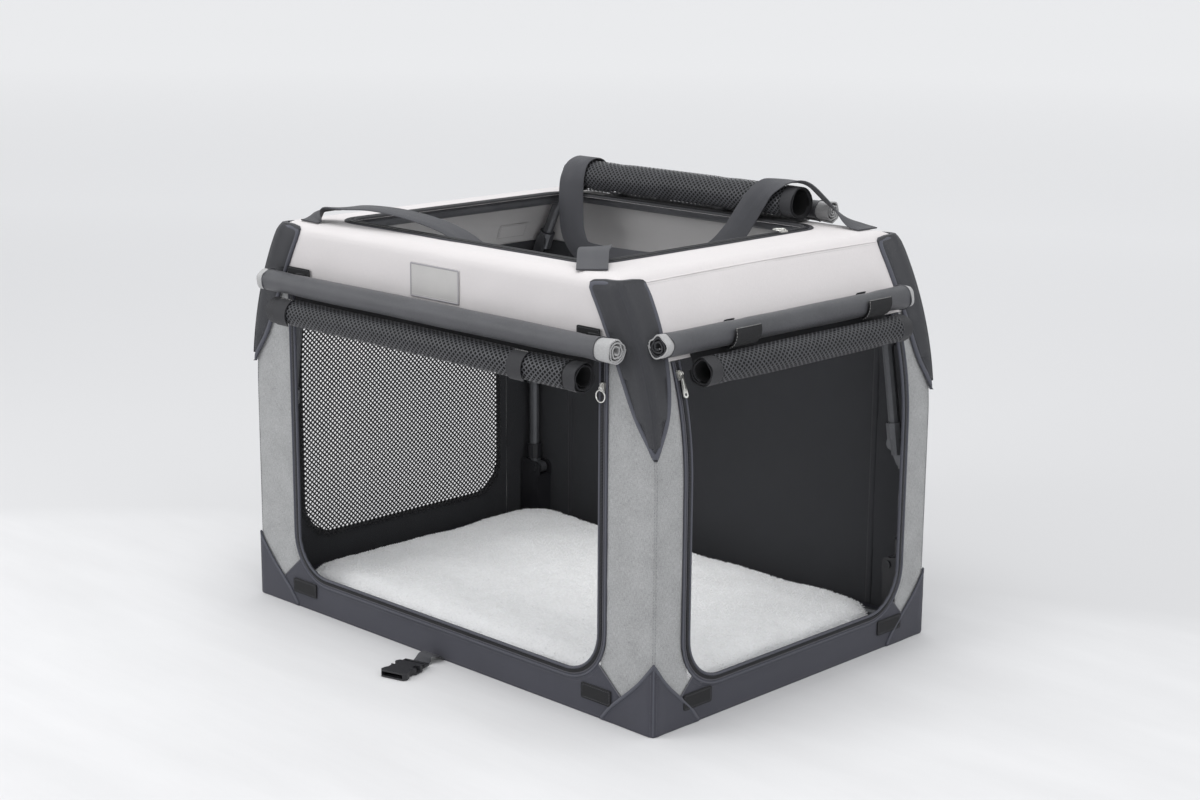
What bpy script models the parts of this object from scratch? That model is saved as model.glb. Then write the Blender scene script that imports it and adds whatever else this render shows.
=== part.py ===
"""Folding soft-sided dog crate.

A tubular steel frame hinges at the base, at the knees and under the roof, so that the roof sinks on to the base.
A fabric skin with three zipped doors hangs on it, with the door flaps and their mesh rolled up and tied.

Metres, +Z up. The origin is the middle of the base, on the floor. X runs along the long side and +Y is the back.
"""

import math

import bmesh
import bpy
from mathutils import Vector

# Overall size of the skin
LENGTH = 0.762
WIDTH = 0.533
HEIGHT = 0.541
HALF_LENGTH = LENGTH / 2
HALF_WIDTH = WIDTH / 2

# Shape of the skin: the end walls lean in along an arc, and the roof's long edges are rounded
LEAN_START = 0.300
LEAN_RADIUS = 0.445
ROOF_EDGE_RADIUS = 0.016
ROOF_END_ROUND = 0.006
ROW_PITCH = 0.025

# Cloth and clearances
CLOTH = 0.0015
GAP = 0.0003
FIT = 0.0003

# Depth of each layer of cloth, from the skin's outer face
OUTER_LAYER = (-CLOTH, 0.0)
INNER_LAYER = (-2 * CLOTH - GAP, -CLOTH - GAP)

# Frame tubes
TUBE_RADIUS = 0.008
TUBE_BORE = 0.0068
TUBE_SIDES = 10

# Heights of the fold's pivots, and how far each side's pivots and tubes stand from the middle
BASE_PIVOT_Z = 0.095
LINK_LENGTH = 0.1675
PIVOT_X = HALF_LENGTH - 0.037
POST_X = HALF_LENGTH - 0.023
POST_TOP_X = HALF_LENGTH - 0.049
LOWER_POST_Y = HALF_WIDTH - 0.0175
UPPER_POST_Y = HALF_WIDTH - 0.0415
POST_OVERRUN = 0.010
KNEE_Z = BASE_PIVOT_Z + LINK_LENGTH
TOP_PIVOT_Z = KNEE_Z + LINK_LENGTH

# Lugs that join the tubes, and their rivets
EAR_RADIUS = 0.0085
COLLAR_RADIUS = 0.01185
COLLAR_LENGTH = 0.021
COLLAR_STANDOFF = 0.0125
EAR_THICKNESS = 0.005
RIVET_RADIUS = 0.0025
RIVET_HEAD_RADIUS = 0.005
RIVET_HEAD = 0.002

# Base: rails, hinge brackets, feet and lock sleeves
RAIL_Z = 0.012
LONG_RAIL_HALF = HALF_LENGTH - 0.032
END_RAIL_HALF = HALF_WIDTH - 0.0295
BRACKET_X = (HALF_LENGTH - 0.045, HALF_LENGTH - 0.010)
BRACKET_FOOT_Y = HALF_WIDTH - 0.0415
BRACKET_Y = (HALF_WIDTH - 0.0315, HALF_WIDTH - 0.0037)
BRACKET_Z = (0.0018, 0.024, 0.084)
CHEEK = 0.0035
CHEEK_TOP_Z = 0.107
CHEEK_RADIUS = 0.010
FOOT_RADIUS = 0.010
FOOT_Z = (0.086, 0.107)
FOOT_EAR = 0.012
SLEEVE_RADIUS = 0.0115
SLEEVE_Z = (0.109, 0.131)

# Roof frame
HOOP_RADIUS = LEAN_RADIUS - 0.017
HOOP_Z = (0.447, 0.470, 0.508)
HOOP_CORNER = (0.2975, 0.282)
ROOF_TUBE_Z = HEIGHT - 0.011
CROSS_BAR_X = HALF_LENGTH - 0.109

# Floor and mat
MAT_HALF_X = HALF_LENGTH - 0.034
MAT_HALF_Y = HALF_WIDTH - 0.0285
MAT_CORNER = (0.050, 0.036)
MAT_TOP_Z = 0.042

# Walls: heights of the tucked edges
WALL_Z = (0.020, 0.455)
COVER_Z = 0.445
PANEL_EDGE_X = HALF_LENGTH - 0.089
PANEL_EDGE_Y = HALF_WIDTH - 0.0595

# Doors: half-width at the zip's inner edge, sill height, corner radius and the zip tape's width
FRONT_DOOR_HALF = HALF_LENGTH - 0.093
END_DOOR_HALF = HALF_WIDTH - 0.0625
DOOR_SILL_Z = 0.053
DOOR_CORNER = 0.055
ZIP_WIDTH = 0.014
ZIP_TAPE = 0.0012

# Window in the far end wall
WINDOW_HALF = HALF_WIDTH - 0.0745
WINDOW_Z = (0.062, 0.430)
WINDOW_CORNER = 0.055
NET_LAP = 0.006
NET_STRAND = 0.0022
NET_GAPS = (9, 8)
NET_DEPTH = (-0.0052, -0.0038)

# Roof opening
ROOF_HOLE_X = (0.133 - HALF_LENGTH, HALF_LENGTH - 0.163)
ROOF_HOLE_HALF_Y = HALF_WIDTH - 0.0615
ROOF_HOLE_CORNER = 0.024

# Base band and corner boots, as (distance from the corner, height) on the long and the short walls
BOOT_TOP_Z = 0.0915
BOOT_LONG = (0.053, 0.036)
BOOT_SHORT = (0.0475, 0.038)
BAND_LONG = (0.096, 0.073)
BAND_SHORT = (0.0865, 0.079)

# Reinforcing guards on the upper corners, as (height, width)
GUARD = 0.0025
GUARD_WIDTHS = ((0.338, 0.003), (0.352, 0.008), (0.384, 0.028), (0.427, 0.039), (0.478, 0.045), (0.536, 0.047))

# Hook-and-loop patches and the bare badge
PATCH_SIZE = (0.050, 0.020)
PATCH_THICKNESS = 0.0012
FRONT_PATCH_X = (0.102 - HALF_LENGTH, HALF_LENGTH - 0.0935)
END_PATCH_Y = (0.0765 - HALF_WIDTH, HALF_WIDTH - 0.0765)
PATCH_Z = 0.030
BADGE_SIZE = (0.092, 0.044)
BADGE_Z = HEIGHT - 0.045
BADGE_THICKNESS = 0.0020

# Rolled flaps (thick) and rolled mesh (thin): radius and where each lies
FLAP_SHEET = 0.0032
FLAP_PITCH = 0.0041
MESH_SHEET = 0.0017
MESH_PITCH = 0.0027
ROLL_STEPS = 12
FRONT_FLAP_ROLL = {"radius": 0.017, "z": 0.463, "span": (0.056 - HALF_LENGTH, HALF_LENGTH - 0.046)}
FRONT_MESH_ROLL = {"radius": 0.019, "z": 0.423, "span": (0.083 - HALF_LENGTH, HALF_LENGTH - 0.096)}
END_FLAP_ROLL = {"radius": 0.017, "z": 0.469, "span": (0.0115 - HALF_WIDTH, HALF_WIDTH - 0.0515)}
END_MESH_ROLL = {"radius": 0.019, "z": 0.431, "span": (0.0715 - HALF_WIDTH, HALF_WIDTH - 0.0765)}
LEFT_FLAP_ROLL = {"radius": 0.017, "z": 0.469, "span": (0.0615 - HALF_WIDTH, HALF_WIDTH - 0.0615)}
ROOF_MESH_ROLL = {"radius": 0.024, "y": HALF_WIDTH - 0.0425, "span": (0.133 - HALF_LENGTH, HALF_LENGTH - 0.196)}
ROOF_FLAP_ROLL = {"radius": 0.015, "y": HALF_WIDTH - 0.002, "span": (0.185 - HALF_LENGTH, HALF_LENGTH - 0.173)}
TIE_WIDTH = 0.018
TIE_THICKNESS = 0.0015
TIE_BITE = 0.0012
TIE_STEM = 0.005
HEM_SEAM = 0.003

# Webbing
WEBBING_WIDTH = 0.038
WEBBING_THICKNESS = 0.002
STRAP_WIDTH = 0.025
STRAP_THICKNESS = 0.0015
FRONT_HANDLE_PIVOT = (0.2655, 0.5435)

# Zip sliders and their pulls
SLIDER_SIZE = (0.009, 0.012, 0.004)
PULL_SIZE = (0.006, 0.030, 0.0012)
PULL_EYE = 0.0016
PULL_HINGE = 0.0035
PULL_HEEL = 0.0006

COLOURS = {
    "cream_fabric": ((0.78, 0.74, 0.74), 0.9, 0.0),
    "grey_fabric": ((0.35, 0.36, 0.36), 0.9, 0.0),
    "charcoal_fabric": ((0.042, 0.042, 0.055), 0.9, 0.0),
    "black_mesh": ((0.010, 0.010, 0.012), 0.8, 0.0),
    "webbing": ((0.036, 0.037, 0.042), 0.8, 0.0),
    "floor_fabric": ((0.06, 0.06, 0.065), 0.9, 0.0),
    "fleece": ((0.80, 0.78, 0.74), 1.0, 0.0),
    "frame_steel": ((0.30, 0.31, 0.33), 0.35, 0.8),
    "fitting_plastic": ((0.02, 0.02, 0.022), 0.5, 0.0),
    "rivet_steel": ((0.60, 0.60, 0.62), 0.3, 1.0),
    "zip_metal": ((0.72, 0.72, 0.74), 0.3, 1.0),
    "badge_rubber": ((0.09, 0.09, 0.10), 0.6, 0.0),
}

LENGTHWISE = Vector((1.0, 0.0, 0.0))
CROSSWISE = Vector((0.0, 1.0, 0.0))
UPWARD = Vector((0.0, 0.0, 1.0))
QUARTERS = ((-1, -1), (-1, 1), (1, -1), (1, 1))


# The shape of the skin


def end_x(z, depth=0.0):
    """Half-length of the skin at a height, moved out by a depth."""
    rise = max(0.0, z - LEAN_START)
    return LENGTH / 2 - LEAN_RADIUS + math.sqrt((LEAN_RADIUS + depth) ** 2 - rise ** 2)


def side_y(z, depth=0.0):
    """Half-width of the skin at a height, moved out by a depth."""
    rise = max(0.0, z - (HEIGHT - ROOF_EDGE_RADIUS))
    return WIDTH / 2 - ROOF_EDGE_RADIUS + math.sqrt(max(0.0, (ROOF_EDGE_RADIUS + depth) ** 2 - rise ** 2))


def on_long_wall(side):
    """Places (x, z, depth) on the front (-1) or back (+1) wall."""
    return lambda u, v, depth: Vector((u, side * side_y(v, depth), v))


def on_end_wall(side):
    """Places (y, z, depth) on the right (+1) or left (-1) end wall."""
    return lambda u, v, depth: Vector((side * end_x(v, depth), u, v))


def on_roof(u, v, depth):
    """Places (x, y, depth) on the flat of the roof."""
    return Vector((u, v, HEIGHT + depth))


def in_side_plane(u, v, depth):
    """Places (x, z) in the plane where y is the depth."""
    return Vector((u, depth, v))


def around_corner(side_of_x, side_of_y):
    """Places (s, z, depth) round a vertical corner: s < 0 is on the long wall and s > 0 on the end wall."""

    def place(s, v, depth):
        x = end_x(v, depth) if s > -1e-6 else end_x(v) + s
        y = side_y(v, depth) if s < 1e-6 else side_y(v) - s
        return Vector((side_of_x * x, side_of_y * y, v))

    return place


def skin_rows(low, high):
    """Heights at which a sheet on a curved wall is creased, so that all the layers crease together."""
    count = math.ceil((HEIGHT - LEAN_START) / ROW_PITCH)
    rows = [LEAN_START + ROW_PITCH * i for i in range(count)]
    edge = HEIGHT - ROOF_EDGE_RADIUS
    rows += [edge + ROOF_EDGE_RADIUS * share for share in (0.45, 0.8)]
    return [row for row in rows if low + 1e-4 < row < high - 1e-4]


# Outlines


def arc(centre, radius, start, end, steps):
    """Points along an arc, angles in degrees."""
    points = []
    for i in range(steps + 1):
        angle = math.radians(start + (end - start) * i / steps)
        points.append((centre[0] + radius * math.cos(angle), centre[1] + radius * math.sin(angle)))
    return points


def rounded_rectangle(low, high, radius, steps=4):
    """Outline of a rectangle with round corners, anticlockwise from its lower left."""
    inner_low = (low[0] + radius, low[1] + radius)
    inner_high = (high[0] - radius, high[1] - radius)
    corners = (
        (inner_low, 180, 270),
        ((inner_high[0], inner_low[1]), 270, 360),
        (inner_high, 0, 90),
        ((inner_low[0], inner_high[1]), 90, 180),
    )
    return [point for centre, start, end in corners for point in arc(centre, radius, start, end, steps)]


def stadium(first, second, radius, steps=5):
    """Outline of a flat ear with a round end about each of two points."""
    heading = math.degrees(math.atan2(second[1] - first[1], second[0] - first[0]))
    around_second = arc(second, radius, heading - 90, heading + 90, steps)
    around_first = arc(first, radius, heading + 90, heading + 270, steps)
    return around_second + around_first


def door_edge(half, sill, radius, top, steps=6):
    """The U of a door's edge, from its top left, down and round to its top right."""
    left = arc((-half + radius, sill + radius), radius, 180, 270, steps)
    right = arc((half - radius, sill + radius), radius, 270, 360, steps)
    return [(-half, top)] + left + right + [(half, top)]


# Meshes


def cross_axes(direction):
    """Two directions square to a tube, the same for every tube that runs the same way."""
    along = direction.normalized()
    first = UPWARD if abs(along.y) > 0.9 else CROSSWISE
    second = along.cross(first).normalized()
    return second.cross(along), second


def skin_loops(bm, first, second):
    """Joins two closed loops of vertices with a band of faces."""
    for i in range(len(first)):
        j = (i + 1) % len(first)
        bm.faces.new((first[i], first[j], second[j], second[i]))


def pipe(bm, points, radius, bore=0.0, sides=TUBE_SIDES):
    """Adds a rod along points, or a tube where it has a bore, with square ends."""
    points = [Vector(point) for point in points]
    skins = []
    for size in (radius, bore) if bore else (radius,):
        loops = []
        for i, point in enumerate(points):
            ahead = points[min(i + 1, len(points) - 1)]
            behind = points[max(i - 1, 0)]
            first, second = cross_axes(ahead - behind)
            loop = []
            for k in range(sides):
                angle = math.tau * k / sides
                loop.append(bm.verts.new(point + size * (math.cos(angle) * first + math.sin(angle) * second)))
            loops.append(loop)
        for low, high in zip(loops, loops[1:]):
            skin_loops(bm, low, high)
        skins.append(loops)
    for end in (0, -1):
        if bore:
            skin_loops(bm, skins[0][end], skins[1][end])
        else:
            bm.faces.new(skins[0][end])


def turned(bm, x, z, profile, side=1, sides=10):
    """Adds a piece turned about an axis along Y, from (y, radius) pairs."""
    loops = []
    for y, radius in profile:
        loop = []
        for k in range(sides):
            angle = math.tau * k / sides
            loop.append(bm.verts.new((x + radius * math.sin(angle), side * y, z + radius * math.cos(angle))))
        loops.append(loop)
    for low, high in zip(loops, loops[1:]):
        skin_loops(bm, low, high)
    bm.faces.new(loops[0])
    bm.faces.new(loops[-1])


def plate(bm, outline, place, inner, outer, holes=(), rows=(), columns=()):
    """Adds a sheet: an outline with holes, creased at rows and columns, laid on a wall between two depths."""
    flat = bmesh.new()
    for loop in (outline, *holes):
        verts = [flat.verts.new((u, v, 0.0)) for u, v in loop]
        for i, vert in enumerate(verts):
            flat.edges.new((verts[i - 1], vert))
    bmesh.ops.triangle_fill(flat, use_beauty=True, edges=flat.edges[:])
    cuts = [((0.0, row, 0.0), CROSSWISE) for row in rows] + [((column, 0.0, 0.0), LENGTHWISE) for column in columns]
    for point, normal in cuts:
        geometry = flat.verts[:] + flat.edges[:] + flat.faces[:]
        bmesh.ops.bisect_plane(flat, geom=geometry, dist=1e-6, plane_co=point, plane_no=normal)
    near = {vert: bm.verts.new(place(vert.co.x, vert.co.y, inner)) for vert in flat.verts}
    far = {vert: bm.verts.new(place(vert.co.x, vert.co.y, outer)) for vert in flat.verts}
    for face in flat.faces:
        bm.faces.new([near[vert] for vert in face.verts])
        bm.faces.new([far[vert] for vert in face.verts])
    for edge in flat.edges:
        if edge.is_boundary:
            start, end = edge.verts
            bm.faces.new((near[start], near[end], far[end], far[start]))
    flat.free()


def box(bm, low, high):
    """Adds a box between two corners."""
    outline = ((low[0], low[2]), (high[0], low[2]), (high[0], high[2]), (low[0], high[2]))
    plate(bm, outline, in_side_plane, low[1], high[1])


def smooth_route(points, steps):
    """Catmull-Rom curve through points."""
    points = [Vector(point) for point in points]
    padded = [2 * points[0] - points[1]] + points + [2 * points[-1] - points[-2]]
    curve = []
    for i in range(1, len(padded) - 2):
        before, start, end, after = padded[i - 1 : i + 3]
        for k in range(steps):
            t = k / steps
            curve.append(
                0.5
                * (
                    2 * start
                    + (end - before) * t
                    + (2 * before - 5 * start + 4 * end - after) * t**2
                    + (3 * start - before - 3 * end + after) * t**3
                )
            )
    curve.append(points[-1])
    return curve


def ribbon(bm, route, width, thickness, steps=3):
    """Adds webbing along a route of (middle, direction of its width) pairs."""
    middles = smooth_route([middle for middle, _ in route], steps)
    widths = smooth_route([across for _, across in route], steps)
    loops = []
    for i, middle in enumerate(middles):
        along = (middles[min(i + 1, len(middles) - 1)] - middles[max(i - 1, 0)]).normalized()
        across = (widths[i] - widths[i].dot(along) * along).normalized()
        face = along.cross(across)
        corners = ((-1, -1), (1, -1), (1, 1), (-1, 1))
        loops.append(
            [bm.verts.new(middle + a * width / 2 * across + b * thickness / 2 * face) for a, b in corners]
        )
    for low, high in zip(loops, loops[1:]):
        skin_loops(bm, low, high)
    bm.faces.new(loops[0])
    bm.faces.new(loops[-1])


def rolled_sheet(bm, place, radius, sheet, pitch, turns, span, start=0.0):
    """Adds a sheet wound in a spiral about a hollow middle; place takes (across, up, along)."""
    steps = round(turns * ROLL_STEPS)
    ends = []
    for along in span:
        outer, inner = [], []
        for i in range(steps + 1):
            angle = math.radians(start) + math.tau * turns * i / steps
            reach = radius - pitch * turns * i / steps
            for loop, size in ((outer, reach), (inner, reach - sheet)):
                loop.append(bm.verts.new(place(size * math.cos(angle), size * math.sin(angle), along)))
        for i in range(steps):
            bm.faces.new((outer[i], outer[i + 1], inner[i + 1], inner[i]))
        ends.append(outer + inner[::-1])
    skin_loops(bm, ends[0], ends[1])


def boolean(base, other, operation):
    """Returns one mesh joined with another, or with the other cut out of it."""
    pair = []
    for bm in (base, other):
        bmesh.ops.recalc_face_normals(bm, faces=bm.faces[:])
        mesh = bpy.data.meshes.new("working")
        bm.to_mesh(mesh)
        bm.free()
        working = bpy.data.objects.new("working", mesh)
        bpy.context.collection.objects.link(working)
        pair.append(working)
    modifier = pair[0].modifiers.new("boolean", "BOOLEAN")
    modifier.object = pair[1]
    modifier.operation = operation
    modifier.solver = "EXACT"
    graph = bpy.context.evaluated_depsgraph_get()
    result = bmesh.new()
    result.from_mesh(pair[0].evaluated_get(graph).to_mesh())
    for working in pair:
        bpy.data.objects.remove(working)
    return result


def add_quarter(bm, piece, side_of_x, side_of_y):
    """Adds a copy of a piece modelled in the +X, +Y quarter to any quarter."""
    copies = {vert: bm.verts.new((side_of_x * vert.co.x, side_of_y * vert.co.y, vert.co.z)) for vert in piece.verts}
    for face in piece.faces:
        bm.faces.new([copies[vert] for vert in face.verts])


# Bodies: each moving one hangs on an empty at its joint

BODY_PLACES = {
    "storage_strap": (None, (-0.002, -WIDTH / 2, 0.0015)),
    "left_lower": (None, (-PIVOT_X, 0.0, BASE_PIVOT_Z)),
    "left_upper": ("left_lower", (-PIVOT_X, 0.0, KNEE_Z)),
    "top": ("left_upper", (-PIVOT_X, 0.0, TOP_PIVOT_Z)),
    "right_lower": (None, (PIVOT_X, 0.0, BASE_PIVOT_Z)),
    "right_upper": ("right_lower", (PIVOT_X, 0.0, KNEE_Z)),
}


def body_empty(name):
    """Returns the empty that carries a body's pieces, making it and its parents when first asked for."""
    if name in bpy.data.objects:
        return bpy.data.objects[name]
    parent_name, place = BODY_PLACES[name]
    empty = bpy.data.objects.new(name, None)
    bpy.context.collection.objects.link(empty)
    empty.location = place
    if parent_name:
        empty.parent = body_empty(parent_name)
        empty.location = Vector(place) - Vector(BODY_PLACES[parent_name][1])
    return empty


def add_piece(name, bm, material, body=None):
    """Turns a mesh in world coordinates into a named object that hangs on its body's empty."""
    bmesh.ops.recalc_face_normals(bm, faces=bm.faces[:])
    origin = Vector(BODY_PLACES[body][1]) if body else Vector()
    bmesh.ops.translate(bm, verts=bm.verts[:], vec=-origin)
    mesh = bpy.data.meshes.new(name)
    bm.to_mesh(mesh)
    bm.free()
    mesh.shade_smooth()
    mesh.set_sharp_from_angle(angle=math.radians(35))
    mesh.materials.append(bpy.data.materials[material])
    piece = bpy.data.objects.new(name, mesh)
    bpy.context.collection.objects.link(piece)
    if body:
        piece.parent = body_empty(body)
    return piece


def make_materials():
    for name, (colour, roughness, metallic) in COLOURS.items():
        material = bpy.data.materials.new(name)
        material.use_nodes = True
        shader = material.node_tree.nodes["Principled BSDF"]
        shader.inputs["Base Color"].default_value = (*colour, 1.0)
        shader.inputs["Roughness"].default_value = roughness
        shader.inputs["Metallic"].default_value = metallic


# Frame fittings, modelled in the +X, +Y quarter


def point_on(start, end, distance):
    """Point a distance along the line from start to end."""
    return start + distance * (end - start).normalized()


def hoop_x(z):
    return LENGTH / 2 - LEAN_RADIUS + math.sqrt(HOOP_RADIUS**2 - (z - LEAN_START) ** 2)


def outer_ear():
    """Depths of an ear on the tubes nearer the skin."""
    return LOWER_POST_Y - COLLAR_RADIUS, LOWER_POST_Y - COLLAR_RADIUS + EAR_THICKNESS


def inner_ear():
    """Depths of an ear on the tubes nearer the middle."""
    return UPPER_POST_Y + COLLAR_RADIUS - EAR_THICKNESS, UPPER_POST_Y + COLLAR_RADIUS


def rivet_hole(body, z, low_y, high_y):
    """Cuts a rivet's running hole through a body at a pivot."""
    hole = bmesh.new()
    radius = RIVET_RADIUS + FIT
    turned(hole, PIVOT_X, z, ((low_y - 0.001, radius), (high_y + 0.001, radius)))
    return boolean(body, hole, "DIFFERENCE")


def lug(collar, pivot_z, ear_y, riveted):
    """A collar with a flat ear out to a pivot, holding the pivot's rivet or drilled for it."""
    body = bmesh.new()
    pipe(body, collar, COLLAR_RADIUS)
    ear = bmesh.new()
    middle = (collar[0] + collar[1]) / 2
    reach = stadium((PIVOT_X, pivot_z), (middle.x - 0.001, middle.z), EAR_RADIUS)
    plate(ear, reach, in_side_plane, *ear_y)
    body = boolean(body, ear, "UNION")
    if not riveted:
        return rivet_hole(body, pivot_z, *ear_y)
    start = inner_ear()[0] - GAP
    end = outer_ear()[1]
    profile = (
        (start - RIVET_HEAD, RIVET_HEAD_RADIUS),
        (start, RIVET_HEAD_RADIUS),
        (start, RIVET_RADIUS),
        (end - 0.001, RIVET_RADIUS),
        (end - 0.001, RIVET_HEAD_RADIUS),
        (end + RIVET_HEAD, RIVET_HEAD_RADIUS),
    )
    rivet = bmesh.new()
    turned(rivet, PIVOT_X, pivot_z, profile)
    return boolean(body, rivet, "UNION")


def hollowed(body, line):
    """Runs the tube's bore through a body, out at both ends of the line."""
    start = point_on(line[0], line[1], -0.010)
    end = point_on(line[-1], line[-2], -0.010)
    bore = bmesh.new()
    pipe(bore, [start] + list(line[1:-1]) + [end], TUBE_BORE)
    return boolean(body, bore, "DIFFERENCE")


def lower_post():
    """A lower post: a tube with a drilled foot, and a lug with the knee's rivet."""
    start = Vector((POST_X, LOWER_POST_Y, FOOT_Z[0] + 0.001))
    line = (start, Vector((POST_X, LOWER_POST_Y, KNEE_Z + POST_OVERRUN)))
    body = bmesh.new()
    pipe(body, line, TUBE_RADIUS)
    foot = bmesh.new()
    pipe(foot, [Vector((POST_X, LOWER_POST_Y, z)) for z in FOOT_Z], FOOT_RADIUS)
    body = boolean(body, foot, "UNION")
    ear = bmesh.new()
    reach = stadium((PIVOT_X, BASE_PIVOT_Z), (POST_X - 0.002, BASE_PIVOT_Z), EAR_RADIUS)
    plate(ear, reach, in_side_plane, LOWER_POST_Y - FOOT_EAR / 2, LOWER_POST_Y + FOOT_EAR / 2)
    body = boolean(body, ear, "UNION")
    body = rivet_hole(body, BASE_PIVOT_Z, *BRACKET_Y)
    collar_top = KNEE_Z - COLLAR_STANDOFF
    collar = [Vector((POST_X, LOWER_POST_Y, z)) for z in (collar_top - COLLAR_LENGTH, collar_top)]
    body = boolean(body, lug(collar, KNEE_Z, outer_ear(), True), "UNION")
    return hollowed(body, line)


def upper_post():
    """An upper post: a leaning tube with a drilled lug at each end."""
    knee = Vector((POST_X, UPPER_POST_Y, KNEE_Z))
    top = Vector((POST_TOP_X, UPPER_POST_Y, TOP_PIVOT_Z))
    line = (point_on(knee, top, -POST_OVERRUN), point_on(top, knee, -POST_OVERRUN))
    body = bmesh.new()
    pipe(body, line, TUBE_RADIUS)
    for start, end, pivot_z in ((knee, top, KNEE_Z), (top, knee, TOP_PIVOT_Z)):
        collar = [point_on(start, end, distance) for distance in (COLLAR_STANDOFF, COLLAR_STANDOFF + COLLAR_LENGTH)]
        body = boolean(body, lug(collar, pivot_z, inner_ear(), False), "UNION")
    return hollowed(body, line)


def hinge_bracket():
    """A moulded bracket that takes both base rails and rivets a lower post's foot between two cheeks."""
    low, foot_top, column_top = BRACKET_Z
    body = bmesh.new()
    box(body, (BRACKET_X[0], BRACKET_FOOT_Y, low), (BRACKET_X[1], BRACKET_Y[1], foot_top))
    column = bmesh.new()
    box(column, (BRACKET_X[0], BRACKET_Y[0], foot_top - 0.001), (BRACKET_X[1], BRACKET_Y[1], column_top))
    body = boolean(body, column, "UNION")
    outline = [(BRACKET_X[1], column_top - 0.001), (BRACKET_X[1], CHEEK_TOP_Z), (POST_X, CHEEK_TOP_Z)]
    outline += arc((PIVOT_X, BASE_PIVOT_Z), CHEEK_RADIUS, 70, 180, 5)
    outline.append((PIVOT_X - CHEEK_RADIUS, column_top - 0.001))
    for start in (BRACKET_Y[0], BRACKET_Y[1] - CHEEK):
        cheek = bmesh.new()
        plate(cheek, outline, in_side_plane, start, start + CHEEK)
        body = boolean(body, cheek, "UNION")
    bores = (
        ((BRACKET_X[0] - 0.01, LOWER_POST_Y, RAIL_Z), (LONG_RAIL_HALF + FIT, LOWER_POST_Y, RAIL_Z)),
        ((POST_X, BRACKET_FOOT_Y - 0.01, RAIL_Z), (POST_X, END_RAIL_HALF + FIT, RAIL_Z)),
    )
    for line in bores:
        bore = bmesh.new()
        pipe(bore, line, TUBE_RADIUS + FIT)
        body = boolean(body, bore, "DIFFERENCE")
    profile = (
        (BRACKET_Y[0] - RIVET_HEAD, RIVET_HEAD_RADIUS),
        (BRACKET_Y[0] + 0.001, RIVET_HEAD_RADIUS),
        (BRACKET_Y[0] + 0.001, RIVET_RADIUS),
        (BRACKET_Y[1] - 0.001, RIVET_RADIUS),
    )
    rivet = bmesh.new()
    turned(rivet, PIVOT_X, BASE_PIVOT_Z, profile)
    return boolean(body, rivet, "UNION")


def quarter_name(side_of_x, side_of_y, piece):
    """Name of a piece that stands at one of the four corners."""
    return f"{'back' if side_of_y > 0 else 'front'}_{'right' if side_of_x > 0 else 'left'}_{piece}"


def add_quarter_piece(pattern, piece, side_of_x, side_of_y, material, body=None):
    """Adds a quarter's own copy of a piece modelled in the +X, +Y quarter."""
    bm = bmesh.new()
    add_quarter(bm, pattern, side_of_x, side_of_y)
    add_piece(quarter_name(side_of_x, side_of_y, piece), bm, material, body)


# Base


def make_base():
    bm = bmesh.new()
    inset = CLOTH + GAP
    box(bm, (-LENGTH / 2 + inset, -WIDTH / 2 + inset, 0.0), (LENGTH / 2 - inset, WIDTH / 2 - inset, CLOTH))
    add_piece("floor_sheet", bm, "floor_fabric")

    for side, long_name, end_name in ((-1, "front", "left"), (1, "back", "right")):
        y = side * LOWER_POST_Y
        bm = bmesh.new()
        pipe(bm, ((-LONG_RAIL_HALF, y, RAIL_Z), (LONG_RAIL_HALF, y, RAIL_Z)), TUBE_RADIUS, TUBE_BORE)
        add_piece(f"{long_name}_base_rail", bm, "frame_steel")
        x = side * POST_X
        bm = bmesh.new()
        pipe(bm, ((x, -END_RAIL_HALF, RAIL_Z), (x, END_RAIL_HALF, RAIL_Z)), TUBE_RADIUS, TUBE_BORE)
        add_piece(f"{end_name}_base_rail", bm, "frame_steel")

    bracket = hinge_bracket()
    for quarter in QUARTERS:
        add_quarter_piece(bracket, "hinge_bracket", *quarter, "fitting_plastic")
    bracket.free()

    make_mat()


def mat_loop(bm, inset, z):
    """One loop of the mat's outline, its corners cut off to clear the hinge brackets."""
    half_x, half_y = MAT_HALF_X - inset, MAT_HALF_Y - inset
    cut_x, cut_y = MAT_CORNER
    points = []
    for side_of_x, side_of_y in ((1, -1), (1, 1), (-1, 1), (-1, -1)):
        pair = [(half_x - cut_x, half_y), (half_x, half_y - cut_y)]
        if side_of_x * side_of_y > 0:
            pair.reverse()
        points += [(side_of_x * x, side_of_y * y) for x, y in pair]
    return [bm.verts.new((x, y, z)) for x, y in points]


def make_mat():
    """The fleece mat: a padded slab with drawn-in sides and a crowned top."""
    low = CLOTH + GAP
    thick = MAT_TOP_Z - low
    profile = (
        (0.006, 0.0),
        (0.0, 0.2),
        (0.0, 0.55),
        (0.004, 0.74),
        (0.014, 0.86),
        (0.040, 0.95),
        (0.100, 1.0),
    )
    bm = bmesh.new()
    loops = [mat_loop(bm, inset, low + share * thick) for inset, share in profile]
    for first, second in zip(loops, loops[1:]):
        skin_loops(bm, first, second)
    bm.faces.new(loops[0])
    bm.faces.new(loops[-1])
    add_piece("fleece_mat", bm, "fleece")


# Cloth walls


def on_circle_towards(start, end, centre, radius):
    """First point of the line from start to end that lies on a circle."""
    step = Vector(end) - Vector(start)
    offset = Vector(start) - Vector(centre)
    a, b, c = step.dot(step), 2 * offset.dot(step), offset.dot(offset) - radius**2
    share = (-b - math.sqrt(b * b - 4 * a * c)) / (2 * a)
    return Vector(start) + share * step


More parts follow.
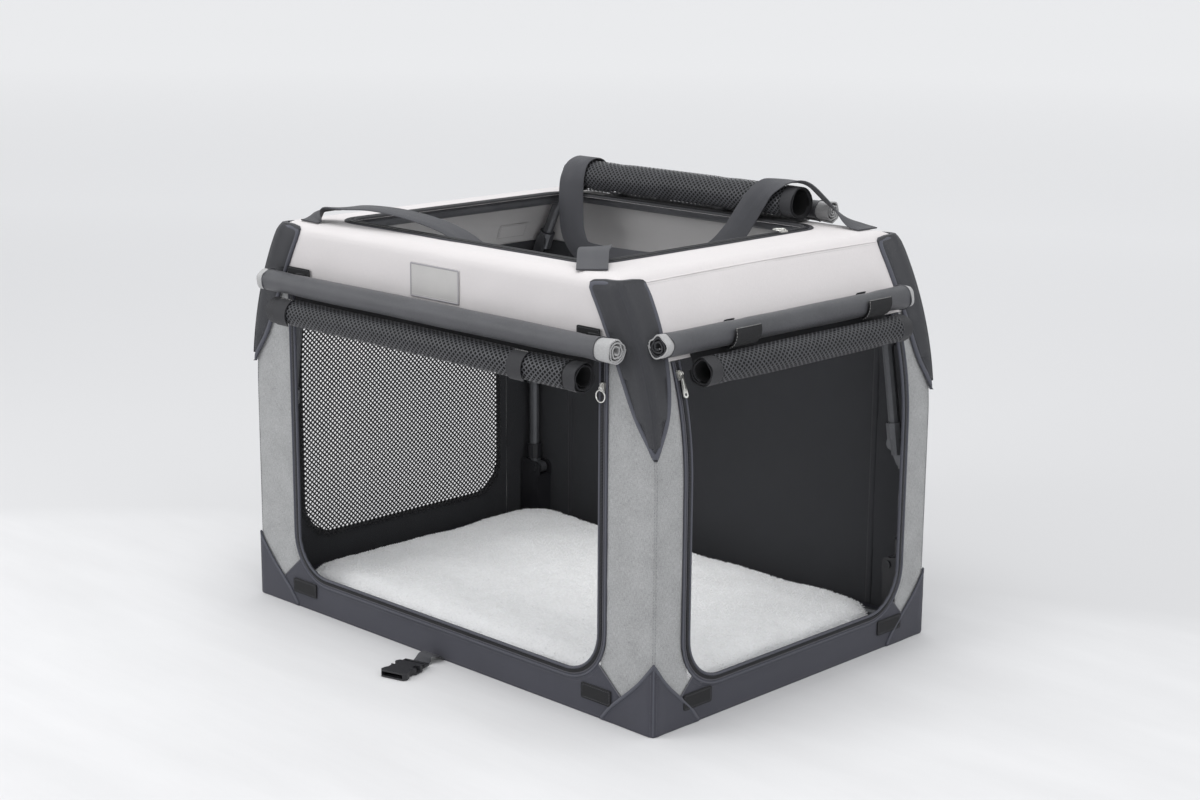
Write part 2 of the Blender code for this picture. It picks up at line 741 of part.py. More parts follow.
def band_outline(half_length, boot, shoulder, door_half):
    """Outline of one wall's base band: a boot at each corner, and a sill that dips under the door's zip."""
    radius = DOOR_CORNER + ZIP_WIDTH + GAP
    centre = (door_half - DOOR_CORNER, DOOR_SILL_Z + DOOR_CORNER)
    notch = (half_length - boot[0], boot[1])
    peak = (half_length - shoulder[0], shoulder[1])
    meeting = on_circle_towards(notch, peak, centre, radius)
    angle = math.degrees(math.atan2(meeting.y - centre[1], meeting.x - centre[0]))
    right = [(half_length, 0.0), (half_length, BOOT_TOP_Z), notch] + arc(centre, radius, angle, -90, 8)
    return right + [(-x, z) for x, z in reversed(right)]


def door_zip(bm, place, half):
    """The zip tape round the sides and sill of a door."""
    top = COVER_Z - GAP
    outer = door_edge(half + ZIP_WIDTH, DOOR_SILL_Z - ZIP_WIDTH, DOOR_CORNER + ZIP_WIDTH, top)
    inner = door_edge(half, DOOR_SILL_Z, DOOR_CORNER, top)
    plate(bm, outer + inner[::-1], place, *OUTER_LAYER, rows=skin_rows(DOOR_SILL_Z, top))


def make_walls():
    make_base_band()

    low, high = WALL_Z
    heights = [low] + skin_rows(low, high) + [high]
    end = WIDTH / 2 - PANEL_EDGE_Y
    outline = [(end, low), (end, high)] + [(PANEL_EDGE_X - end_x(z), z) for z in reversed(heights)]
    for quarter in QUARTERS:
        bm = bmesh.new()
        plate(bm, outline, around_corner(*quarter), *INNER_LAYER, rows=skin_rows(low, high), columns=(0.0,))
        add_piece(quarter_name(*quarter, "corner_panel"), bm, "grey_fabric")

    bm = bmesh.new()
    half = PANEL_EDGE_X - GAP
    outline = ((-half, low), (half, low), (half, high), (-half, high))
    plate(bm, outline, on_long_wall(1), *INNER_LAYER)
    add_piece("back_panel", bm, "charcoal_fabric")

    bm = bmesh.new()
    half = PANEL_EDGE_Y - GAP
    outline = ((-half, low), (half, low), (half, high), (-half, high))
    window = door_edge(WINDOW_HALF, WINDOW_Z[0], WINDOW_CORNER, WINDOW_Z[1])
    plate(bm, outline, on_end_wall(-1), *INNER_LAYER, holes=(window,), rows=skin_rows(low, high))
    add_piece("far_end_panel", bm, "charcoal_fabric")

    make_window_net()

    bm = bmesh.new()
    door_zip(bm, on_long_wall(-1), FRONT_DOOR_HALF)
    add_piece("front_door_zip", bm, "webbing")
    bm = bmesh.new()
    door_zip(bm, on_end_wall(1), END_DOOR_HALF)
    add_piece("end_door_zip", bm, "webbing")


def make_base_band():
    """The band and boots round the base, one sewn piece, with the hook-and-loop patches on it."""
    long_outline = band_outline(LENGTH / 2, BOOT_LONG, BAND_LONG, FRONT_DOOR_HALF)
    end_outline = band_outline(WIDTH / 2, BOOT_SHORT, BAND_SHORT, END_DOOR_HALF)
    body = None
    for side in (-1, 1):
        for outline, place in ((long_outline, on_long_wall(side)), (end_outline, on_end_wall(side))):
            wall = bmesh.new()
            plate(wall, outline, place, *OUTER_LAYER)
            body = boolean(body, wall, "UNION") if body else wall
    half_u, half_v = PATCH_SIZE[0] / 2, PATCH_SIZE[1] / 2
    spots = [(on_long_wall(-1), x) for x in FRONT_PATCH_X] + [(on_end_wall(1), y) for y in END_PATCH_Y]
    for place, middle in spots:
        outline = rounded_rectangle((middle - half_u, PATCH_Z - half_v), (middle + half_u, PATCH_Z + half_v), 0.003, 2)
        patch = bmesh.new()
        plate(patch, outline, place, -CLOTH / 2, PATCH_THICKNESS)
        body = boolean(body, patch, "UNION")
    add_piece("base_band", body, "charcoal_fabric")


def make_window_net():
    """The window's net, as an open lattice sewn behind the far end panel."""
    half = WINDOW_HALF + NET_LAP
    low, high = WINDOW_Z[0] - NET_LAP, WINDOW_Z[1] + NET_LAP
    across, up = NET_GAPS
    margin = NET_LAP + NET_STRAND
    pitch_y = (2 * (half - margin) + NET_STRAND) / across
    pitch_z = (high - low - 2 * margin + NET_STRAND) / up
    gaps = []
    for i in range(across):
        for k in range(up):
            y = -half + margin + i * pitch_y
            z = low + margin + k * pitch_z
            gaps.append(
                ((y, z), (y + pitch_y - NET_STRAND, z), (y + pitch_y - NET_STRAND, z + pitch_z - NET_STRAND),
                 (y, z + pitch_z - NET_STRAND))
            )
    bm = bmesh.new()
    outline = ((-half, low), (half, low), (half, high), (-half, high))
    plate(bm, outline, on_end_wall(-1), *NET_DEPTH, holes=gaps)
    add_piece("window_net", bm, "black_mesh")


# Roof


def roof_opening(margin=0.0):
    """Outline of the roof door's opening, let out by a margin."""
    low = (ROOF_HOLE_X[0] - margin, -ROOF_HOLE_HALF_Y - margin)
    high = (ROOF_HOLE_X[1] + margin, ROOF_HOLE_HALF_Y + margin)
    return rounded_rectangle(low, high, ROOF_HOLE_CORNER + margin)


def cover_loop(bm, z, depth):
    """One loop of the cover's walls at a height."""
    round_off = ROOF_END_ROUND if z > HEIGHT - 2 * CLOTH else 0.0
    x, y = end_x(z, depth) - round_off, side_y(z, depth)
    return [bm.verts.new((a * x, b * y, z)) for a, b in ((-1, -1), (1, -1), (1, 1), (-1, 1))]


def make_cover():
    """The stiff upper cover: a hipped shell with the roof door's opening in it."""
    bm = bmesh.new()
    rims = []
    for depth in (0.0, -CLOTH):
        top = HEIGHT + depth
        heights = [COVER_Z] + skin_rows(COVER_Z, top - 0.001) + [top]
        loops = [cover_loop(bm, z, depth) for z in heights]
        for low, high in zip(loops, loops[1:]):
            skin_loops(bm, low, high)
        hole = [bm.verts.new((x, y, top)) for x, y in roof_opening()]
        edges = []
        for loop in (loops[-1], hole):
            for i, vert in enumerate(loop):
                edge = bm.edges.get((loop[i - 1], vert)) or bm.edges.new((loop[i - 1], vert))
                edges.append(edge)
        bmesh.ops.triangle_fill(bm, use_beauty=True, edges=edges)
        rims.append((loops[0], hole))
    skin_loops(bm, rims[0][0], rims[1][0])
    skin_loops(bm, rims[0][1], rims[1][1])
    add_piece("upper_cover", bm, "cream_fabric", "top")

    bm = bmesh.new()
    plate(bm, roof_opening(ZIP_WIDTH), on_roof, GAP, GAP + ZIP_TAPE, holes=(roof_opening(),))
    add_piece("roof_door_zip", bm, "webbing", "top")

    for side_of_x, side_of_y in QUARTERS:
        bm = bmesh.new()
        long_edge = [(-width, z) for z, width in GUARD_WIDTHS]
        end_edge = [(width, z) for z, width in reversed(GUARD_WIDTHS)]
        low, high = GUARD_WIDTHS[0][0], GUARD_WIDTHS[-1][0]
        rows = skin_rows(low, high)
        plate(bm, long_edge + end_edge, around_corner(side_of_x, side_of_y), GAP, GAP + GUARD, rows=rows, columns=(0.0,))
        add_piece(quarter_name(side_of_x, side_of_y, "guard"), bm, "charcoal_fabric", "top")

    bm = bmesh.new()
    half_x, half_z = BADGE_SIZE[0] / 2, BADGE_SIZE[1] / 2
    outline = rounded_rectangle((-half_x, BADGE_Z - half_z), (half_x, BADGE_Z + half_z), 0.002, 2)
    plate(bm, outline, on_long_wall(-1), GAP, GAP + BADGE_THICKNESS)
    add_piece("badge", bm, "badge_rubber", "top")


# Folding frame


def make_links():
    lower, upper = lower_post(), upper_post()
    for side_of_x, side_of_y in QUARTERS:
        word = "right" if side_of_x > 0 else "left"
        add_quarter_piece(lower, "lower_post", side_of_x, side_of_y, "frame_steel", f"{word}_lower")
        add_quarter_piece(upper, "upper_post", side_of_x, side_of_y, "frame_steel", f"{word}_upper")
        x, y = side_of_x * POST_X, side_of_y * LOWER_POST_Y
        bm = bmesh.new()
        pipe(bm, ((x, y, SLEEVE_Z[0]), (x, y, SLEEVE_Z[1])), SLEEVE_RADIUS, TUBE_RADIUS + FIT)
        sleeve = quarter_name(side_of_x, side_of_y, "lock_sleeve")
        BODY_PLACES[f"{sleeve}_slide"] = (f"{word}_lower", (x, y, SLEEVE_Z[0]))
        add_piece(sleeve, bm, "fitting_plastic", f"{sleeve}_slide")
    lower.free()
    upper.free()


def make_roof_frame():
    tangent = Vector((hoop_x(HOOP_Z[-1]), 0.0, HOOP_Z[-1]))
    corner = Vector((HOOP_CORNER[0], 0.0, ROOF_TUBE_Z))
    straight = Vector((HOOP_CORNER[1], 0.0, ROOF_TUBE_Z))
    right = [Vector((hoop_x(z), 0.0, z)) for z in HOOP_Z]
    for share in (0.3, 0.65, 1.0):
        right.append((1 - share) ** 2 * tangent + 2 * share * (1 - share) * corner + share**2 * straight)
    left = [Vector((-point.x, 0.0, point.z)) for point in reversed(right)]
    line = [point + LOWER_POST_Y * CROSSWISE for point in right + left]
    hoop = bmesh.new()
    pipe(hoop, line, TUBE_RADIUS)
    shoulder = lug(line[:2], TOP_PIVOT_Z, outer_ear(), True)
    mirrored = bmesh.new()
    add_quarter(mirrored, shoulder, -1, 1)
    for piece in (shoulder, mirrored):
        hoop = boolean(hoop, piece, "UNION")
    hoop = hollowed(hoop, line)
    for side, word in ((-1, "front"), (1, "back")):
        bm = bmesh.new()
        add_quarter(bm, hoop, 1, side)
        add_piece(f"{word}_roof_hoop", bm, "frame_steel", "top")
    hoop.free()

    half = LOWER_POST_Y - TUBE_RADIUS - GAP
    for side, word in ((-1, "left"), (1, "right")):
        x = side * CROSS_BAR_X
        bm = bmesh.new()
        pipe(bm, ((x, -half, ROOF_TUBE_Z), (x, half, ROOF_TUBE_Z)), TUBE_RADIUS, TUBE_BORE)
        add_piece(f"{word}_roof_bar", bm, "frame_steel", "top")


# Rolls and their ties


def tied(roll, place, roll_radius, seat, along):
    """A roll with a tie round it, whose stem is sewn to the skin between two points as seen from the roll's axis."""
    first, second = (Vector(point) for point in seat)
    middle = (first + second) / 2
    towards = math.degrees(math.atan2(middle.y, middle.x))
    if middle.x * first.y - middle.y * first.x > 0:
        first, second = second, first
    outer_radius = roll_radius + TIE_THICKNESS
    half_stem = math.degrees(math.asin(TIE_STEM / 2 / outer_radius))
    outline = arc((0.0, 0.0), outer_radius, towards + half_stem, towards + 360 - half_stem, 10)
    outline += [tuple(first), tuple(second)]
    hole = arc((0.0, 0.0), roll_radius - TIE_BITE, towards, towards + 330, 11)
    band = bmesh.new()
    plate(band, outline, place, along - TIE_WIDTH / 2, along + TIE_WIDTH / 2, holes=(hole,))
    return boolean(roll, band, "UNION")


def roof_edge_z(y, depth):
    """Height of the rounded roof edge, moved out by a depth, at a distance from the middle."""
    rise = (ROOF_EDGE_RADIUS + depth) ** 2 - (y - WIDTH / 2 + ROOF_EDGE_RADIUS) ** 2
    return HEIGHT - ROOF_EDGE_RADIUS + math.sqrt(rise)


def roll_place(middle, outward, lengthwise):
    """Finds points from a roll's axis; middle is a point on it, and lengthwise runs along it."""

    def place(across, up, along):
        return middle + across * outward + up * UPWARD + along * lengthwise

    return place


def add_roll(name, material, roll, winding, start, place, seat, tie_spots):
    """Adds a rolled flap or mesh with its ties."""
    bm = bmesh.new()
    rolled_sheet(bm, place, roll["radius"], *winding, roll["span"], start)
    for along in tie_spots:
        bm = tied(bm, place, roll["radius"], seat, along)
    add_piece(name, bm, material, "top")


def make_rolls():
    flap = (FLAP_SHEET, FLAP_PITCH, 2.2)
    mesh = (MESH_SHEET, MESH_PITCH, 2.2)
    off_guard = GUARD + 2 * GAP
    hem = (COVER_Z + HEM_SEAM, COVER_Z + HEM_SEAM + TIE_STEM)

    for name, material, roll, winding, spots in (
        ("front_flap_roll", "charcoal_fabric", FRONT_FLAP_ROLL, flap, (-0.265, 0.285)),
        ("front_mesh_roll", "black_mesh", FRONT_MESH_ROLL, mesh, (-0.270, 0.184)),
    ):
        z = roll["z"]
        y = WIDTH / 2 + off_guard + roll["radius"]
        heights = hem if winding is mesh else (z - TIE_STEM / 2, z + TIE_STEM / 2)
        seat = [(side_y(height, GAP) - y, height - z) for height in heights]
        place = roll_place(Vector((0.0, -y, z)), -CROSSWISE, LENGTHWISE)
        add_roll(name, material, roll, winding, 180.0, place, seat, spots)

    for name, material, roll, winding, side, spots in (
        ("end_flap_roll", "charcoal_fabric", END_FLAP_ROLL, flap, 1, (-0.116, 0.139)),
        ("end_mesh_roll", "black_mesh", END_MESH_ROLL, mesh, 1, (-0.150, 0.150)),
        ("far_window_flap_roll", "charcoal_fabric", LEFT_FLAP_ROLL, flap, -1, (-0.130, 0.130)),
    ):
        z = roll["z"]
        x = end_x(z, off_guard + roll["radius"])
        heights = hem if winding is mesh else (z - TIE_STEM / 2, z + TIE_STEM / 2)
        seat = [(end_x(height, GAP) - x, height - z) for height in heights]
        place = roll_place(Vector((side * x, 0.0, z)), side * LENGTHWISE, CROSSWISE)
        add_roll(name, material, roll, winding, 180.0, place, seat, spots)

    off_tie = TIE_THICKNESS + 3 * GAP
    roll = ROOF_MESH_ROLL
    y, z = roll["y"], HEIGHT + off_tie + ZIP_TAPE + roll["radius"]
    seat = [(side * TIE_STEM / 2, HEIGHT + GAP - z) for side in (-1, 1)]
    place = roll_place(Vector((0.0, y, z)), CROSSWISE, LENGTHWISE)
    add_roll("roof_mesh_roll", "black_mesh", roll, mesh, 270.0, place, seat, (-0.150, 0.050))

    roll = ROOF_FLAP_ROLL
    y = roll["y"]
    z = roof_edge_z(y, off_tie + roll["radius"])
    share = ROOF_EDGE_RADIUS / (ROOF_EDGE_RADIUS + off_tie + roll["radius"])
    edge_y = WIDTH / 2 - ROOF_EDGE_RADIUS + share * (y - WIDTH / 2 + ROOF_EDGE_RADIUS)
    seat = [(at - y, roof_edge_z(at, GAP) - z) for at in (edge_y - TIE_STEM / 2, edge_y + TIE_STEM / 2)]
    place = roll_place(Vector((0.0, y, z)), CROSSWISE, LENGTHWISE)
    add_roll("roof_flap_roll", "charcoal_fabric", roll, flap, 270.0, place, seat, (-0.100, 0.120))


# Webbing


def make_handles():
    BODY_PLACES["front_handle_lift"] = ("top", (0.0, -FRONT_HANDLE_PIVOT[0], FRONT_HANDLE_PIVOT[1]))
    route = (
        ((-0.270, -0.252, 0.5428), (1.0, 0.0, 0.0)),
        ((-0.269, -0.242, 0.5455), (1.0, 0.0, 0.1)),
        ((-0.255, -0.231, 0.5580), (0.8, -0.5, 0.3)),
        ((-0.215, -0.224, 0.5700), (0.3, -0.95, 0.0)),
        ((-0.165, -0.218, 0.5760), (0.0, -1.0, 0.0)),
        ((-0.115, -0.210, 0.5730), (0.0, -1.0, 0.0)),
        ((-0.065, -0.196, 0.5600), (0.0, -1.0, 0.0)),
        ((-0.028, -0.180, 0.5380), (0.0, -1.0, 0.0)),
        ((0.010, -0.168, 0.5000), (0.0, -1.0, 0.0)),
        ((0.045, -0.158, 0.4740), (0.0, -1.0, 0.0)),
        ((0.085, -0.151, 0.4640), (0.0, -1.0, 0.0)),
        ((0.125, -0.150, 0.4730), (0.0, -1.0, 0.0)),
        ((0.155, -0.152, 0.5000), (0.0, -1.0, 0.0)),
        ((0.172, -0.158, 0.5320), (0.1, -1.0, 0.0)),
        ((0.190, -0.172, 0.5520), (-0.3, -0.9, 0.0)),
        ((0.212, -0.200, 0.5560), (-0.65, -0.75, 0.0)),
        ((0.238, -0.228, 0.5480), (-0.78, -0.62, 0.0)),
        ((0.255, -0.246, 0.5428), (-0.75, -0.65, 0.0)),
    )
    bm = bmesh.new()
    ribbon(bm, route, WEBBING_WIDTH, WEBBING_THICKNESS)
    add_piece("front_handle", bm, "webbing", "front_handle_lift")

    BODY_PLACES["back_handle_lift"] = ("top", (0.0, WIDTH / 2, HEIGHT))
    route = (
        ((-0.219, 0.2580, 0.5419), (1.0, 0.0, 0.0)),
        ((-0.219, 0.2515, 0.5450), (1.0, 0.0, 0.0)),
        ((-0.219, 0.2500, 0.5560), (1.0, 0.0, 0.0)),
        ((-0.219, 0.2500, 0.5700), (1.0, 0.0, 0.0)),
        ((-0.219, 0.2425, 0.5885), (1.0, 0.0, 0.0)),
        ((-0.219, 0.2240, 0.5948), (1.0, 0.0, 0.0)),
        ((-0.219, 0.2055, 0.5885), (1.0, 0.0, 0.0)),
        ((-0.219, 0.1982, 0.5700), (1.0, 0.0, 0.0)),
        ((-0.219, 0.1980, 0.5500), (1.0, 0.0, 0.0)),
        ((-0.219, 0.1980, 0.5200), (1.0, 0.0, 0.0)),
        ((-0.216, 0.1975, 0.4850), (0.97, 0.0, 0.2)),
        ((-0.198, 0.1965, 0.4600), (0.75, 0.0, 0.66)),
        ((-0.165, 0.1960, 0.4550), (0.1, 0.0, 1.0)),
        ((-0.110, 0.1960, 0.4550), (0.0, 0.0, 1.0)),
        ((-0.040, 0.1960, 0.4580), (-0.05, 0.0, 1.0)),
        ((0.020, 0.1960, 0.4680), (-0.3, 0.0, 0.95)),
        ((0.060, 0.1970, 0.4900), (-0.6, 0.0, 0.8)),
        ((0.090, 0.1980, 0.5200), (-0.8, 0.0, 0.6)),
        ((0.112, 0.1982, 0.5500), (-0.85, 0.0, 0.5)),
        ((0.128, 0.1985, 0.5710), (-0.9, 0.1, 0.4)),
        ((0.143, 0.2055, 0.5885), (-0.84, 0.35, 0.35)),
        ((0.161, 0.2240, 0.5950), (-0.75, 0.65, 0.0)),
        ((0.186, 0.2360, 0.5930), (-0.45, 0.85, 0.1)),
        ((0.213, 0.2420, 0.5740), (-0.3, 0.89, 0.17)),
        ((0.240, 0.2440, 0.5550), (-0.15, 0.95, 0.1)),
        ((0.264, 0.2440, 0.5455), (0.0, 1.0, 0.0)),
        ((0.284, 0.2430, 0.5428), (0.0, 1.0, 0.0)),
    )
    bm = bmesh.new()
    ribbon(bm, route, WEBBING_WIDTH, WEBBING_THICKNESS, 2)
    add_piece("back_handle", bm, "webbing", "back_handle_lift")


def make_storage_strap():
    """The strap that holds the folded crate shut, and the socket of its buckle, lying on the floor."""
    strap_end = Vector((0.0, -HALF_WIDTH - 0.0385, 0.0))
    heading = Vector((0.28, -1.0, 0.0)).normalized()
    across = heading.cross(UPWARD)
    root = Vector((BODY_PLACES["storage_strap"][1][0], -WIDTH / 2 - GAP, 0.0))
    lift = (GAP + STRAP_THICKNESS / 2) * UPWARD
    bm = bmesh.new()
    route = (
        (root + lift, Vector((1.0, 0.0, 0.0))),
        (root + lift + Vector((0.0, -0.012, 0.0)), Vector((1.0, -0.02, 0.0))),
        (strap_end + lift - 0.010 * heading, -across),
        (strap_end + lift + 0.012 * heading, -across),
    )
    ribbon(bm, route, STRAP_WIDTH, STRAP_THICKNESS, 4)
    add_piece("storage_strap_webbing", bm, "webbing", "storage_strap")

    def place(u, v, depth):
        return strap_end + u * across + v * heading + depth * UPWARD

    thick = 0.0095
    body = bmesh.new()
    outline = [(-0.017, 0.014), (0.017, 0.014), (0.0195, 0.022), (0.0195, 0.050), (0.016, 0.056)]
    outline += [(-0.016, 0.056), (-0.0195, 0.050), (-0.0195, 0.022)]
    plate(body, outline, place, GAP, thick)
    loop = bmesh.new()
    slot = [(-0.014, 0.0035), (0.014, 0.0035), (0.014, 0.0085), (-0.014, 0.0085)]
    frame = [(-0.018, -0.001), (0.018, -0.001), (0.018, 0.016), (-0.018, 0.016)]
    plate(loop, frame, place, GAP * 2 + STRAP_THICKNESS, 0.0060, holes=(slot,))
    body = boolean(body, loop, "UNION")
    socket = bmesh.new()
    mouth = [(-0.0155, 0.026), (0.0155, 0.026), (0.0155, 0.060), (-0.0155, 0.060)]
    plate(socket, mouth, place, 0.0022, thick - 0.0018)
    body = boolean(body, socket, "DIFFERENCE")
    add_piece("storage_buckle", body, "fitting_plastic", "storage_strap")


# Zip sliders


def make_zip(name, place):
    """A zip's slider and its pull; place takes (across, along, depth) from the slider's middle."""
    wide, long, thick = SLIDER_SIZE
    body = bmesh.new()
    outline = [(-wide / 2, -long / 2), (wide / 2, -long / 2), (wide / 2, long / 2), (-wide / 2, long / 2)]
    plate(body, outline, place, GAP, GAP + thick - 0.0012)
    bail = bmesh.new()
    plate(bail, [(-0.001, -0.0035), (0.001, -0.0035), (0.001, 0.0045), (-0.001, 0.0045)], place, GAP, GAP + thick)
    body = boolean(body, bail, "UNION")
    slider_body = f"{name}_slide"
    BODY_PLACES[slider_body] = ("top", tuple(place(0.0, 0.0, 0.0)))
    add_piece(f"{name}_slider", body, "zip_metal", slider_body)

    half, length, sheet = PULL_SIZE[0] / 2, PULL_SIZE[1], PULL_SIZE[2]
    start = GAP * 2 + thick
    hinge = place(0.0, PULL_HINGE, start + sheet / 2)
    foot = PULL_HINGE - length
    outline = rounded_rectangle((-half, foot), (half, PULL_HINGE + PULL_HEEL), 0.002, 2)
    eye = arc((0.0, foot + 0.005), PULL_EYE, 0, 315, 7)
    pull = bmesh.new()
    plate(pull, outline, place, start, start + sheet, holes=(eye,))
    pull_body = f"{name}_swing"
    BODY_PLACES[pull_body] = (slider_body, tuple(hinge))
    add_piece(f"{name}_pull", pull, "zip_metal", pull_body)


def make_zips():
    def front(u, v, depth):
        return Vector((FRONT_DOOR_HALF + ZIP_WIDTH / 2 + u, -WIDTH / 2 - depth, 0.412 + v))

    make_zip("front_zip", front)

    middle = Vector((end_x(0.428), -END_DOOR_HALF - ZIP_WIDTH / 2, 0.428))
    outward = Vector((middle.x - LENGTH / 2 + LEAN_RADIUS, 0.0, middle.z - LEAN_START)).normalized()
    upward = Vector((-outward.z, 0.0, outward.x))

    def end(u, v, depth):
        return middle + u * CROSSWISE + v * upward + (depth + GAP) * outward

    make_zip("end_zip", end)

    def roof(u, v, depth):
        return Vector((ROOF_HOLE_X[1] + ZIP_WIDTH / 2 + u, 0.140 + v, HEIGHT + GAP + ZIP_TAPE + depth))

    make_zip("roof_zip", roof)


def main():
    for existing in list(bpy.data.objects):
        bpy.data.objects.remove(existing)
    make_materials()
    make_base()
    make_walls()
    make_links()
    make_roof_frame()
    make_cover()
    make_rolls()
    make_handles()
    make_storage_strap()
    make_zips()


main()
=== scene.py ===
"""Dresses the folding dog crate: cloth, mesh, webbing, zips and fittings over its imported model.

Each operator makes one piece or one group of like pieces. Metres, +Z up; the front is -Y and the near end is +X.
"""

import math
from typing import NamedTuple

import bmesh
import bpy
from mathutils import Matrix, Vector, noise


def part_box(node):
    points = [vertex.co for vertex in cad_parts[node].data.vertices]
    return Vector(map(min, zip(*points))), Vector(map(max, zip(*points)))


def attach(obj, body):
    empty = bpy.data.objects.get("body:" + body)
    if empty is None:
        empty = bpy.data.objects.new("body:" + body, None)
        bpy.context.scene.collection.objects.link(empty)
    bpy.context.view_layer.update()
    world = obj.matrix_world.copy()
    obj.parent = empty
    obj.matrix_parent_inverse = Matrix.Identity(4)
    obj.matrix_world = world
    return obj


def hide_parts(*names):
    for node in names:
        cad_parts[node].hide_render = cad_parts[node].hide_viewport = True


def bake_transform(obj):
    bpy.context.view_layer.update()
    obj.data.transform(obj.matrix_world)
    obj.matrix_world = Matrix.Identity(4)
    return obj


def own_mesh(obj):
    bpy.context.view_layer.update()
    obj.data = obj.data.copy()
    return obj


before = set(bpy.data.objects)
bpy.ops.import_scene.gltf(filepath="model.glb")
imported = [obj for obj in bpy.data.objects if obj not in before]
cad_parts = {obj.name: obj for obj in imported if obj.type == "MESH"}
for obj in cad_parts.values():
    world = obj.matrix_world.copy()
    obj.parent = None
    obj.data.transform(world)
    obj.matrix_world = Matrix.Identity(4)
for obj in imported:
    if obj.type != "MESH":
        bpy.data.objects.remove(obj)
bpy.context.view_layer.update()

bl_info = {
    "name": "Folding dog crate",
    "version": (1, 0, 0),
    "blender": (4, 5, 0),
    "location": "View3D > Sidebar > Dog crate",
    "description": "Makes the cloth, mesh, webbing and fittings of a folding soft-sided dog crate",
    "category": "Add Mesh",
}

# The skin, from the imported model
LENGTH = -2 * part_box("base_band")[0].x
WIDTH = 2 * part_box("back_panel")[1].y + 0.0036
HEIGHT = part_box("upper_cover")[1].z
COVER_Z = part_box("upper_cover")[0].z
WALL_Z = (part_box("back_panel")[0].z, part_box("back_panel")[1].z)
LEAN_START = 0.3
LEAN_RADIUS = 0.445
ROOF_EDGE_RADIUS = 0.016
CORNER_RADIUS = 0.005
GAP = 0.0003

# Doors, window and roof opening
FRONT_DOOR_HALF = 0.288
END_DOOR_HALF = 0.204
DOOR_SILL_Z = 0.053
DOOR_CORNER = 0.055
ZIP_WIDTH = 0.014
WINDOW_HALF = 0.192
WINDOW_Z = (0.062, 0.43)
WALL_DEPTHS = (-0.0033, -0.0018)  # inner and outer face of the walls' cloth, from the skin
ROOF_HOLE_X = (-0.248, 0.218)
ROOF_HOLE_HALF_Y = 0.205
ROOF_HOLE_CORNER = 0.024
PANEL_EDGE_X = 0.292
PANEL_EDGE_Y = 0.207

# Rolls
OFF_GUARD = 0.0031  # from the skin to the back of a roll
FLAP_RADIUS = 0.017
MESH_RADIUS = 0.019
FLAP_TURNS = 3.4
FLAP_SPACING = 0.0036  # between two turns of a flap's roll
AROUND = 26  # points in one turn of a roll

UPWARD = Vector((0.0, 0.0, 1.0))
QUARTERS = ((-1, -1), (-1, 1), (1, -1), (1, 1))


class CrateSizes(bpy.types.PropertyGroup):
    """Sizes of the sewn detail."""

    ripple: bpy.props.FloatProperty(
        name="Ripple", description="How far the cover's cloth waves in and out", default=0.0012, unit="LENGTH"
    )
    net_cell: bpy.props.FloatVectorProperty(
        name="Net cell", description="Width and height of the net's diamonds", default=(0.0078, 0.0073), size=2
    )
    net_strand: bpy.props.FloatProperty(
        name="Net strand", description="Width of the net's strands", default=0.0031, unit="LENGTH"
    )
    tooth_pitch: bpy.props.FloatProperty(
        name="Tooth pitch", description="Spacing of the zips' teeth", default=0.0018, unit="LENGTH"
    )
    stitch: bpy.props.FloatProperty(
        name="Stitch", description="Length of a stitch", default=0.003, unit="LENGTH"
    )
    pile: bpy.props.FloatProperty(
        name="Fleece pile", description="Length of the fleece mat's tufts", default=0.003, unit="LENGTH"
    )
    mat_swell: bpy.props.FloatProperty(
        name="Mat swell", description="Most that the mat's padding pushes out", default=0.006, unit="LENGTH"
    )


class CrateColours(bpy.types.PropertyGroup):
    """Colours of the cloth and fittings, as they are dyed or coated."""

    cover: bpy.props.FloatVectorProperty(
        name="Cover", description="Upper cover", subtype="COLOR", default=(0.69, 0.662, 0.662)
    )
    panel: bpy.props.FloatVectorProperty(
        name="Corner panels", description="Corner panels' paler yarn", subtype="COLOR", default=(0.45, 0.455, 0.458)
    )
    charcoal: bpy.props.FloatVectorProperty(
        name="Charcoal", description="Base band and inner walls", subtype="COLOR", default=(0.052, 0.053, 0.07)
    )
    piping: bpy.props.FloatVectorProperty(
        name="Binding", description="Binding tape and piping", subtype="COLOR", default=(0.08, 0.083, 0.104)
    )
    webbing: bpy.props.FloatVectorProperty(
        name="Webbing", description="Handles and ties", subtype="COLOR", default=(0.059, 0.06, 0.069)
    )
    fleece: bpy.props.FloatVectorProperty(
        name="Fleece", description="Fleece mat", subtype="COLOR", default=(0.94, 0.945, 0.95)
    )
    floor: bpy.props.FloatVectorProperty(
        name="Studio floor", description="Floor of the studio", subtype="COLOR", default=(0.745, 0.745, 0.752)
    )


def sizes():
    return bpy.context.scene.crate_sizes


def colours():
    return bpy.context.scene.crate_colours


# The shape of the skin


def end_x(z, depth=0.0):
    """Half-length of the skin at a height, moved out by a depth."""
    rise = max(0.0, z - LEAN_START)
    return LENGTH / 2 - LEAN_RADIUS + math.sqrt((LEAN_RADIUS + depth) ** 2 - rise**2)


def side_y(z, depth=0.0):
    """Half-width of the skin at a height, moved out by a depth."""
    rise = max(0.0, z - (HEIGHT - ROOF_EDGE_RADIUS))
    return WIDTH / 2 - ROOF_EDGE_RADIUS + math.sqrt(max(0.0, (ROOF_EDGE_RADIUS + depth) ** 2 - rise**2))


def on_long_wall(side):
    """Places (x, z, depth) on the front (-1) or back (+1) wall."""

    def place(u, v, depth):
        return Vector((u, side * side_y(v, depth), v))

    return place


def on_end_wall(side):
    """Places (y, z, depth) on the near (+1) or far (-1) end wall."""

    def place(u, v, depth):
        return Vector((side * end_x(v, depth), u, v))

    return place


def on_roof(u, v, depth):
    """Places (x, y, depth) on the roof."""
    return Vector((u, v, HEIGHT + depth))


